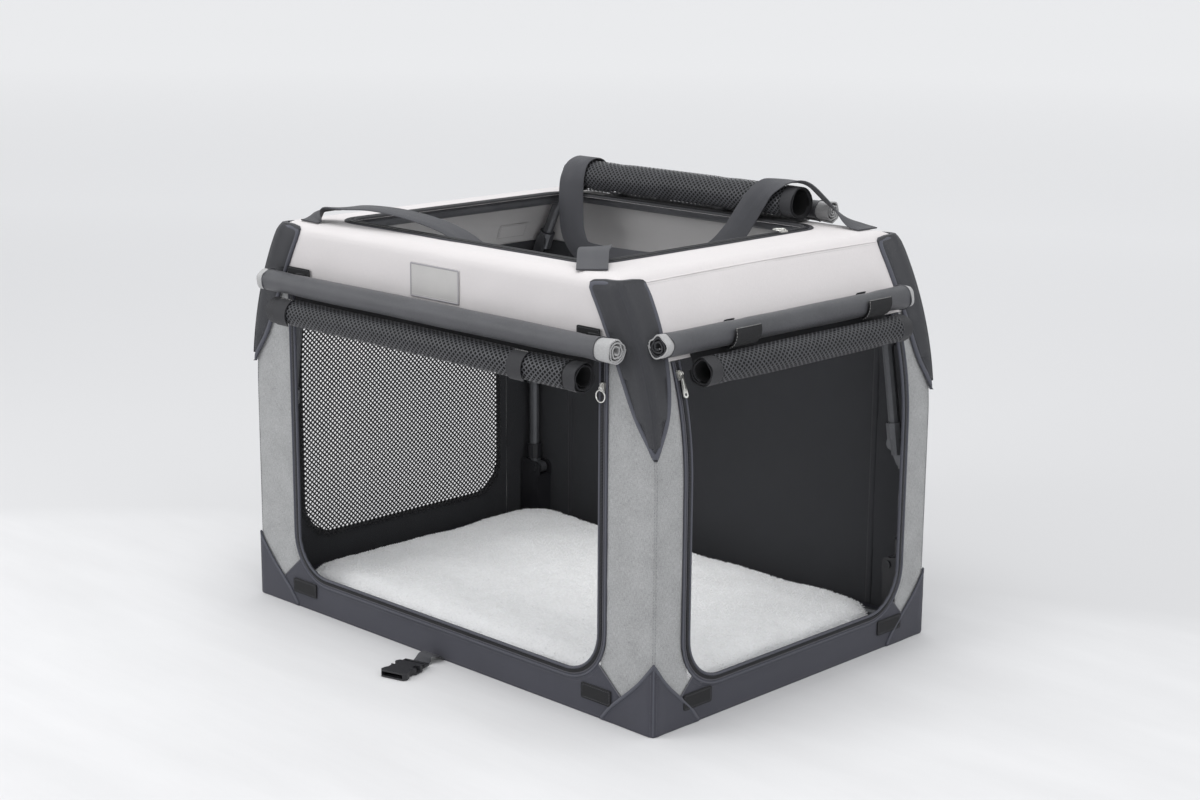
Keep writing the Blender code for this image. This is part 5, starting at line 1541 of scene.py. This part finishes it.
class CRATE_OT_rolls(bpy.types.Operator):
    """Rolls up the door flaps and their mesh, and ties them."""

    bl_idname = "crate.rolls"
    bl_label = "Rolled flaps and mesh"

    def execute(self, context):
        front = Roll("front_flap", along_front(0.463, FLAP_RADIUS), FLAP_RADIUS, (-0.325, 0.335), (-0.265, 0.285), 91)
        self.add_flap(front, (0.012, 0.024))
        end = Roll("end_flap", along_end(0.469, FLAP_RADIUS), FLAP_RADIUS, (-0.255, 0.215), (-0.116, 0.139), 92)
        # the end flap's inner turns take the dark lining, though the same lining shows pale on its outer turn:
        # painted shade deep in the roll
        self.add_flap(end, (0.012, 0.008), inside=2)
        place = along_end(0.469, FLAP_RADIUS, -1)
        far_end = Roll("far_window_flap", place, FLAP_RADIUS, (-0.205, 0.205), (-0.13, 0.13), 93)
        self.add_flap(far_end, (0.01, 0.01))
        place = along_roof(0.2645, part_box("roof_flap_roll")[1].z - 0.0165)
        self.add_flap(Roll("roof_flap", place, 0.015, (-0.196, 0.208), (-0.1, 0.12), 94, 270), (0.01, 0.022))

        hem = (COVER_Z - 0.026, COVER_Z + 0.007)
        place = along_front(0.4245, MESH_RADIUS)
        front = Roll("front_mesh", place, MESH_RADIUS, (-0.298, 0.285), (-0.27, 0.184), 95)
        self.add_mesh(front, on_long_wall(-1), hem)
        end = Roll("end_mesh", along_end(0.4325, MESH_RADIUS), MESH_RADIUS, (-0.195, 0.19), (-0.15, 0.15), 96)
        self.add_mesh(end, on_end_wall(1), hem)
        place = along_roof(0.224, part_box("roof_mesh_roll")[1].z - 0.0255)
        roof = Roll("roof_mesh", place, 0.024, (-0.248, 0.185), (-0.15, 0.05), 97, 270)
        self.add_mesh(roof, on_roof, (0.2185, 0.248))
        self.add_tabs()
        return {"FINISHED"}

    def shape(self, roll, flare):
        """How a roll's radius strays: pinched at its ties, flared at its ends, and loose between."""
        seed = roll.seed

        def stray(angle, along, turn):
            total = -0.0009 * sum(math.exp(-(((along - tie) / 0.014) ** 2)) for tie in roll.ties)
            slack = 0.0008
            for end, size in zip(roll.span, flare):
                near = math.exp(-(((along - end) / 0.022) ** 2))
                total += size * near
                slack += 0.003 * near
            spot = Vector((math.cos(angle) * 1.25 + seed, math.sin(angle) * 1.25 + turn * 0.5, along * 9.0))
            total += slack * noise.noise(spot)
            return total * (1.0 - 0.25 * turn)

        return stray

    def stations(self, span, pitch):
        """Places along a roll, a pitch apart."""
        count = round((span[1] - span[0]) / pitch)
        return [span[0] + (span[1] - span[0]) * i / count for i in range(count + 1)]

    def add_flap(self, roll, pale, inside=1):
        """A rolled door flap, with the pale lining showing where its ends stick out."""
        bm = bmesh.new()
        span, radius = roll.span, roll.radius
        edges = (span[0] + pale[0], span[1] - pale[1])
        stations = sorted(self.stations(span, 0.0085) + [edge + side * 0.0004 for edge in edges for side in (-1, 1)])
        stray = self.shape(roll, (0.0006, 0.0014))

        def light(first, second):
            return 0 if edges[0] <= (first + second) / 2 <= edges[1] else 1

        def stepped(angle, along, turn):
            inner = light(along, along) and turn < 0.9
            return stray(angle, along, turn) - (0.0008 if inner else 0.0)

        outer = radius - 0.0006
        rolled(bm, roll.place, outer, 0.0018, FLAP_SPACING, FLAP_TURNS, stations, roll.start, stepped, light, inside)
        for edge in edges:
            points = []
            for i in range(AROUND + 1):
                angle = math.radians(roll.start) + math.tau * i / AROUND * 0.985
                reach = outer + stray(angle, edge, 0.0) - FLAP_SPACING * i / AROUND
                points.append(turned(roll.place, reach, angle, edge))
            tube(bm, points, 0.0009)
        finishes = ("flap cloth", "flap lining", "dark lining")
        piece = add_piece(roll.name, bm, finishes, "top", (f"{roll.name}_roll",))
        self.add_ties(roll)

    def add_mesh(self, roll, skin, hem):
        """A rolled mesh panel with bound ends, open in the middle; it hangs from a hem that is sewn to the skin."""
        bm = bmesh.new()
        place, radius, span, start = roll.place, roll.radius, roll.span, roll.start
        bound = 0.019
        stray = self.shape(roll, (0.0006, 0.0008))
        # a near-black plain spiral under the net: painted shade, seen through the net's holes as the dark inside of
        # the roll
        shade = self.stations((span[0] + 0.002, span[1] - 0.002), 0.012)
        rolled(bm, place, radius - 0.0023, 0.0006, 0.0027, 2.3, shade, start + 40, stray)
        paint_from(bm, 0, 2)
        before = len(bm.faces)
        for ends in ((span[0], span[0] + bound), (span[1] - bound, span[1])):
            rolled(bm, place, radius - 0.0002, 0.0012, 0.0026, 2.2, self.stations(ends, 0.006), start, stray)
        paint_from(bm, before, 1)

        def around(u, v, depth):
            angle, turn = math.radians(start) + v / radius, v / radius / math.tau
            return turned(place, radius - 0.0006 + stray(angle, u, turn) - 0.0014 * turn, angle, u)

        low, high = (span[0] + bound - 0.002, 0.0), (span[1] - bound + 0.002, math.tau * radius * 1.03)
        net(bm, around, low, high, narrowed=0.85)
        before = len(bm.faces)
        half = min(-span[0], span[1]) - 0.004
        sewn_sheet(bm, rectangle((-half, hem[0]), (half, hem[1])), skin, (0.0016, 0.0026), pitch=0.02)
        paint_from(bm, before, 1)
        # the rolled net's cord is lighter than the window's: painted highlight
        finishes = ("rolled net cord", "dark binding", "net shade")
        piece = add_piece(roll.name, bm, finishes, "top", (f"{roll.name}_roll",))
        self.add_ties(roll)

    def add_ties(self, roll):
        """Elastic ties round a roll, sewn to the skin behind it."""
        bm = bmesh.new()
        wide, sweep = 0.018, math.radians(84)
        angles = [math.radians(roll.start) + sweep * (i / 36 - 0.5) for i in range(37)]
        for tie in roll.ties:
            verts, spots = [], []
            for k in range(5):
                reach = roll.radius + 0.0003 - (0.0004 if k in (0, 4) else 0.0)
                along = tie + wide * (k / 4 - 0.5)
                verts.append([bm.verts.new(turned(roll.place, reach, angle, along)) for angle in angles])
                spots.append([(wide * k / 4, reach * angle) for angle in angles])
            for k in range(4):
                for i in range(36):
                    around = ((k, i), (k, i + 1), (k + 1, i + 1), (k + 1, i))
                    add_face(bm, [verts[a][b] for a, b in around], [spots[a][b] for a, b in around])
        piece = add_piece(f"{roll.name}_ties", bm, ("dark binding",), "top")
        thick = piece.modifiers.new("web", "SOLIDIFY")
        thick.thickness = 0.0009
        thick.offset = 1.0

    def add_tabs(self):
        """The ends of the ties: flat tabs of hook tape above the front flap, and tabs round two of the rolls."""
        bm = bmesh.new()
        for low, high in (((-0.296, 0.466), (-0.25, 0.4815)), ((0.254, 0.466), (0.292, 0.4805))):
            outline = rounded_rectangle(low, high, 0.002, 3)
            sewn_sheet(bm, outline, on_long_wall(-1), (0.0026, 0.004), pitch=0.006)
            stitch_row(bm, moved(outline, 0.002, True), on_long_wall(-1), 0.0042, True, 1)
        piece = add_piece("front_flap_tabs", bm, ("hook tape", "thread"), "top")

        bm = bmesh.new()
        over = self.wrapped(along_end(0.469, FLAP_RADIUS), FLAP_RADIUS)
        for middle in (-0.116, 0.139):
            outline = rounded_rectangle((middle - 0.023, -0.022), (middle + 0.023, 0.0075), 0.0016, 3)
            sewn_sheet(bm, outline, over, (0.0006, 0.0019), pitch=0.004)
            edge = ((middle - 0.0225, -0.02), (middle - 0.0225, 0.007), (middle + 0.0225, 0.007))
            stitch_row(bm, edge, over, 0.002, material=1)
        piece = add_piece("end_flap_tabs", bm, ("hook tape", "pale thread"), "top")

        bm = bmesh.new()
        over = self.wrapped(along_front(0.423, MESH_RADIUS), MESH_RADIUS)
        for middle in (-0.268, 0.186):
            outline = rounded_rectangle((middle - 0.0125, -0.016), (middle + 0.0125, 0.026), 0.0016, 3)
            sewn_sheet(bm, outline, over, (0.0002, 0.0014), pitch=0.004)
            stitch_row(bm, ((middle - 0.0115, 0.0245), (middle + 0.0115, 0.0245)), over, 0.0015, material=1)
        piece = add_piece("front_mesh_tabs", bm, ("dark binding", "pale thread"), "top")

    def wrapped(self, place, radius):
        """Finds points wrapped round a roll; up is round it, from its outermost line."""

        def over(u, v, depth):
            return turned(place, radius + depth, v / radius, u)

        return over


# Webbing


HANDLE_WIDTH = 0.038
HANDLE_THICKNESS = 0.002
STRAP_WIDTH = 0.025
STRAP_THICKNESS = 0.0014
# Points of each handle's route, and at each the way that its width points
FRONT_HANDLE = (
    (-0.270, -0.252, 0.5428, 1.0, 0.0, 0.0),
    (-0.269, -0.242, 0.5455, 1.0, 0.0, 0.1),
    (-0.255, -0.231, 0.5580, 0.8, -0.5, 0.3),
    (-0.215, -0.224, 0.5640, 0.3, -0.95, 0.0),
    (-0.165, -0.218, 0.5670, 0.0, -1.0, 0.0),
    (-0.115, -0.207, 0.5630, 0.0, -1.0, 0.0),
    (-0.068, -0.188, 0.5500, 0.0, -1.0, 0.0),
    (-0.030, -0.176, 0.5310, 0.0, -1.0, 0.0),
    (0.010, -0.168, 0.5000, 0.0, -1.0, 0.0),
    (0.045, -0.158, 0.4740, 0.0, -1.0, 0.0),
    (0.085, -0.151, 0.4640, 0.0, -1.0, 0.0),
    (0.125, -0.150, 0.4730, 0.0, -1.0, 0.0),
    (0.155, -0.152, 0.5000, 0.0, -1.0, 0.0),
    (0.172, -0.158, 0.5320, 0.1, -1.0, 0.0),
    (0.190, -0.172, 0.5520, -0.3, -0.9, 0.0),
    (0.212, -0.200, 0.5560, -0.65, -0.75, 0.0),
    (0.238, -0.228, 0.5480, -0.78, -0.62, 0.0),
    (0.255, -0.246, 0.5428, -0.75, -0.65, 0.0),
)

BACK_HANDLE = (
    (-0.219, 0.2580, 0.5419, 1.0, 0.0, 0.0),
    (-0.219, 0.2515, 0.5450, 1.0, 0.0, 0.0),
    (-0.219, 0.2500, 0.5560, 1.0, 0.0, 0.0),
    (-0.219, 0.2500, 0.5700, 1.0, 0.0, 0.0),
    (-0.219, 0.2425, 0.5885, 1.0, 0.0, 0.0),
    (-0.219, 0.2240, 0.5948, 1.0, 0.0, 0.0),
    (-0.219, 0.2045, 0.5885, 0.99, 0.10, 0.0),
    (-0.219, 0.1935, 0.5700, 0.95, 0.30, 0.0),
    (-0.219, 0.1905, 0.5500, 0.91, 0.40, 0.0),
    (-0.219, 0.1905, 0.5200, 0.91, 0.40, 0.0),
    (-0.216, 0.1925, 0.4850, 0.93, 0.30, 0.2),
    (-0.198, 0.1960, 0.4600, 0.75, 0.0, 0.66),
    (-0.165, 0.1960, 0.4550, 0.1, 0.0, 1.0),
    (-0.110, 0.1960, 0.4550, 0.0, 0.0, 1.0),
    (-0.040, 0.1960, 0.4580, -0.05, 0.0, 1.0),
    (0.020, 0.1960, 0.4680, -0.3, 0.0, 0.95),
    (0.060, 0.1970, 0.4900, -0.6, 0.0, 0.8),
    (0.090, 0.1980, 0.5200, -0.8, 0.0, 0.6),
    (0.112, 0.1982, 0.5500, -0.85, 0.0, 0.5),
    (0.128, 0.1985, 0.5710, -0.9, 0.1, 0.4),
    (0.143, 0.2055, 0.5885, -0.84, 0.35, 0.35),
    (0.161, 0.2240, 0.5950, -0.75, 0.65, 0.0),
    (0.186, 0.2360, 0.5930, -0.68, 0.70, -0.20),
    (0.213, 0.2420, 0.5740, -0.68, 0.70, -0.20),
    (0.240, 0.2440, 0.5560, -0.55, 0.80, -0.10),
    (0.264, 0.2440, 0.5455, -0.10, 0.99, 0.0),
    (0.284, 0.2430, 0.5428, 0.0, 1.0, 0.0),
)


class CRATE_OT_webbing(bpy.types.Operator):
    """Hangs the two carrying handles and lays out the storage strap with its buckle."""

    bl_idname = "crate.webbing"
    bl_label = "Handles and strap"

    def execute(self, context):
        route = (FRONT_HANDLE, HANDLE_WIDTH, HANDLE_THICKNESS, 8)
        piece = self.add_webbing("front_handle_webbing", *route, "front_handle", None, "hung")
        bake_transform(piece)
        route = (BACK_HANDLE, HANDLE_WIDTH, HANDLE_THICKNESS, 6)
        piece = self.add_webbing("back_handle_webbing", *route, "back_handle", None, "hung")
        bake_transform(piece)
        self.add_strap()
        return {"FINISHED"}

    def add_webbing(self, name, route, width, thickness, steps, node, body, held):
        """Webbing along a route of rows (x, y, z, and the way of its width)."""
        middles = spline([row[:3] for row in route], steps)
        widths = spline([row[3:] for row in route], steps)
        bm = bmesh.new()
        ribbon(bm, middles, widths, width, thickness)
        piece = add_piece(name, bm, ("strap weave",), body, (node,))
        path_length(middles)
        return piece

    def add_strap(self):
        """The storage strap, rising a little from the base band and lying down again, and half of its buckle."""
        strap_end = Vector((0.0, -0.305, 0.0))
        heading = Vector((0.28, -1.0, 0.0)).normalized()
        across = heading.cross(UPWARD)
        root = Vector((-0.002, -WIDTH / 2 - GAP, 0.0))
        lift = 0.00105 * UPWARD
        route = (
            (*(root + lift), 1.0, 0.0, 0.0),
            (*(root + lift + Vector((0.001, -0.01, 0.0065))), 1.0, -0.02, 0.0),
            (*(root + lift + Vector((-0.001, -0.02, 0.0085))), 1.0, -0.1, 0.0),
            (*(strap_end + lift - 0.01 * heading), *-across),
            (*(strap_end + lift + 0.012 * heading), *-across),
        )
        route = (route, STRAP_WIDTH, STRAP_THICKNESS, 6)
        self.add_webbing("storage_webbing", *route, "storage_strap_webbing", "storage_strap", "laid")

        def place(u, v, depth):
            return strap_end + u * across + v * heading + depth * UPWARD

        bm = bmesh.new()
        right = [(0.0175, 0.013), (0.0195, 0.018), (0.0195, 0.03), (0.0165, 0.034), (0.016, 0.041), (0.019, 0.046)]
        right += [(0.0195, 0.052), (0.0165, 0.0565)]
        outline = right + [(-u, v) for u, v in reversed(right)]
        solid_block(bm, outline, place, 0.0004, 0.0094)
        mouth = bmesh.new()
        solid_block(mouth, rectangle((-0.0155, 0.026), (0.0155, 0.06)), place, 0.0022, 0.0076)
        bm = cut_away(bm, mouth)
        for left, right in ((-0.0225, -0.0125), (0.0125, 0.0225)):
            window = bmesh.new()
            solid_block(window, rectangle((left, 0.021), (right, 0.03)), place, 0.0026, 0.012)
            bm = cut_away(bm, window)
        bars = (
            ((-0.018, -0.001), (0.018, 0.0025)),
            ((-0.018, 0.0095), (0.018, 0.0145)),
            ((-0.018, 0.0), (-0.0142, 0.014)),
            ((0.0142, 0.0), (0.018, 0.014)),
        )
        for low, high in bars:
            solid_block(bm, rectangle(low, high), place, 0.0024, 0.0062)
        replaced = ("storage_buckle",)
        piece = add_piece("buckle_socket", bm, ("moulded plastic",), "storage_strap", replaced)
        edge = piece.modifiers.new("edge", "BEVEL")
        edge.width = 0.0007
        edge.segments = 3
        edge.limit_method = "ANGLE"


# Frame


class CRATE_OT_frame(bpy.types.Operator):
    """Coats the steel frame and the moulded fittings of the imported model."""

    bl_idname = "crate.frame"
    bl_label = "Frame"

    def execute(self, context):
        finishes = {("_rail", "_post", "_hoop", "_bar"): "coated steel", ("_bracket", "_sleeve"): "moulded plastic"}
        for name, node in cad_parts.items():
            for endings, finish in finishes.items():
                if name.endswith(endings):
                    for slot in node.material_slots:
                        slot.material = bpy.data.materials[finish]
        return {"FINISHED"}


# Stage


class CRATE_OT_stage(bpy.types.Operator):
    """Sets the studio floor, the soft light and the camera."""

    bl_idname = "crate.stage"
    bl_label = "Studio"

    def execute(self, context):
        recipe = Recipe("studio paper", 0.75)
        recipe.shader.inputs["Specular IOR Level"].default_value = 0.2
        places = recipe.places()
        floor = tuple(colours().floor)
        sides = []
        # the near part of the floor ends at two lines, each given by its normal and its distance
        for normal, start in (((0.419, -0.908, 0.0), 0.2588), ((0.726, -0.687, 0.0), 0.5052)):
            share = recipe.node("ShaderNodeVectorMath", ((0, places), (1, normal)), operation="DOT_PRODUCT")
            sides.append(recipe.maths("ADD", share.outputs["Value"], start))
        depth = recipe.maths("MINIMUM", *sides)
        near = recipe.spread(depth, -0.03, 0.06)
        ripples = recipe.cloud(recipe.stretched(places, (2.2, 9.0, 1.0)), 1.0, 4.0)
        bright = recipe.spread(ripples, 0.3, 0.7, 0.965, 1.03)
        # beyond the near floor the paper brightens with distance: painted light, so that the far floor reads as a lit
        # backdrop
        far = recipe.spread(depth, -0.05, -3.5, 0.93, 1.22)
        tone = recipe.blended(near, far, bright)
        scaled = recipe.node("ShaderNodeVectorMath", ((0, floor), ("Scale", tone)), operation="SCALE")
        recipe.colour(scaled.outputs["Vector"])
        # a glow that only the camera sees on the far floor: painted light, though nothing there is a lamp
        seen = recipe.node("ShaderNodeLightPath").outputs["Is Camera Ray"]
        painted_glow = recipe.maths("MULTIPLY", seen, recipe.spread(depth, -1.0, -9.0, 0.0, 0.16))
        recipe.shader.inputs["Emission Color"].default_value = (1.0, 1.0, 0.99, 1.0)
        recipe.feed(recipe.shader.inputs["Emission Strength"], painted_glow)
        folds = recipe.cloud(recipe.stretched(places, (3.0, 15.0, 1.0)), 1.0)
        recipe.emboss(recipe.relief(folds, recipe.spread(near, 0.0, 1.0, 0.0, 0.14), 0.01))
        bm = bmesh.new()
        half, step = 30, 6
        grid = [[bm.verts.new((step * i - half, step * k - half, 0.0)) for k in range(11)] for i in range(11)]
        for i in range(10):
            for k in range(10):
                corners = (grid[i][k], grid[i + 1][k], grid[i + 1][k + 1], grid[i][k + 1])
                add_face(bm, corners, [vert.co.xy for vert in corners])
        mesh = finished_mesh("studio_floor", bm)
        mesh.materials.append(recipe.material)
        floor_piece = add_object("studio_floor", mesh)
        floor_piece.location.z = -0.0004
        self.add_light("ceiling_light", (0.1, -0.3, 3.1), 2.2, 38.0)
        self.add_light("left_light", (-1.4, -2.6, 1.6), 1.8, 24.0)
        self.add_light("right_light", (2.9, -0.7, 1.6), 2.0, 15.0)
        self.add_sky()
        self.add_camera()
        return {"FINISHED"}

    def add_light(self, name, place, size, power):
        """A round lamp, aimed at the middle of the crate."""
        aim = Vector((0.0, 0.0, 0.25))
        lamp = bpy.data.lights.new(name, "AREA")
        lamp.shape = "DISK"
        lamp.size = size
        lamp.energy = power
        light = add_object(name, lamp)
        light.location = place
        light.rotation_euler = (aim - Vector(place)).to_track_quat("-Z", "Y").to_euler()

    def add_sky(self):
        """Soft light from all round; the camera and mirrors see a plain backdrop in its place."""
        world = bpy.data.worlds.new("studio")
        bpy.context.scene.world = world
        world.use_nodes = True
        tree = world.node_tree
        light = tree.nodes["Background"]
        light.inputs["Color"].default_value = (0.97, 0.98, 1.0, 1.0)
        light.inputs["Strength"].default_value = 0.74
        seen = tree.nodes.new("ShaderNodeBackground")
        seen.inputs["Color"].default_value = (0.776, 0.799, 0.791, 1.0)
        path = tree.nodes.new("ShaderNodeLightPath")
        direct = path.outputs["Is Camera Ray"]
        for ray in ("Is Glossy Ray", "Is Transmission Ray"):
            either = tree.nodes.new("ShaderNodeMath")
            either.operation = "MAXIMUM"
            tree.links.new(direct, either.inputs[0])
            tree.links.new(path.outputs[ray], either.inputs[1])
            direct = either.outputs[0]
        mix = tree.nodes.new("ShaderNodeMixShader")
        tree.links.new(direct, mix.inputs[0])
        tree.links.new(light.outputs[0], mix.inputs[1])
        tree.links.new(seen.outputs[0], mix.inputs[2])
        tree.links.new(mix.outputs[0], tree.nodes["World Output"].inputs["Surface"])

    def add_camera(self):
        """The camera, fitted to the photograph."""
        focal_pixels, photo_width, sensor = 2117.89, 1200, 36.0
        yaw, pitch, roll = math.radians(-44.34), math.radians(13.326), math.radians(0.417)
        forward = Vector((math.sin(yaw) * math.cos(pitch), math.cos(yaw) * math.cos(pitch), -math.sin(pitch)))
        right = Vector((math.cos(yaw), -math.sin(yaw), 0.0))
        up = right.cross(forward)
        right, up = math.cos(roll) * right + math.sin(roll) * up, -math.sin(roll) * right + math.cos(roll) * up
        lens = bpy.data.cameras.new("photo_camera")
        lens.sensor_width = sensor
        lens.lens = focal_pixels / photo_width * sensor
        lens.clip_start = 0.05
        camera = add_object("photo_camera", lens)
        turn = Matrix((right, up, -forward)).transposed().to_4x4()
        camera.matrix_world = Matrix.Translation((1.9717, -1.9879, 0.9654)) @ turn
        bpy.context.scene.camera = camera
        bpy.context.scene.view_settings.view_transform = "Standard"


class CRATE_PT_panel(bpy.types.Panel):
    """Lists the crate's pieces, sizes and colours."""

    bl_idname = "CRATE_PT_panel"
    bl_label = "Dog crate"
    bl_space_type = "VIEW_3D"
    bl_region_type = "UI"
    bl_category = "Dog crate"

    def draw(self, context):
        for settings in (context.scene.crate_sizes, context.scene.crate_colours):
            box = self.layout.box()
            for name in settings.__annotations__:
                box.prop(settings, name)
        for operator in OPERATORS:
            self.layout.operator(operator.bl_idname)


OPERATORS = (
    CRATE_OT_finishes,
    CRATE_OT_stage,
    CRATE_OT_base_band,
    CRATE_OT_floor_and_mat,
    CRATE_OT_walls,
    CRATE_OT_zips,
    CRATE_OT_cover,
    CRATE_OT_rolls,
    CRATE_OT_webbing,
    CRATE_OT_frame,
)
CLASSES = (CrateSizes, CrateColours, *OPERATORS, CRATE_PT_panel)


def register():
    for cls in CLASSES:
        bpy.utils.register_class(cls)
    bpy.types.Scene.crate_sizes = bpy.props.PointerProperty(type=CrateSizes)
    bpy.types.Scene.crate_colours = bpy.props.PointerProperty(type=CrateColours)


def unregister():
    del bpy.types.Scene.crate_colours
    del bpy.types.Scene.crate_sizes
    for cls in reversed(CLASSES):
        bpy.utils.unregister_class(cls)


def main():
    register()
    bpy.ops.crate.finishes()
    bpy.ops.crate.stage()
    bpy.ops.crate.base_band()
    bpy.ops.crate.floor_and_mat()
    bpy.ops.crate.walls()
    bpy.ops.crate.zips()
    bpy.ops.crate.cover()
    bpy.ops.crate.rolls()
    bpy.ops.crate.webbing()
    bpy.ops.crate.frame()


if __name__ == "__main__":
    main()
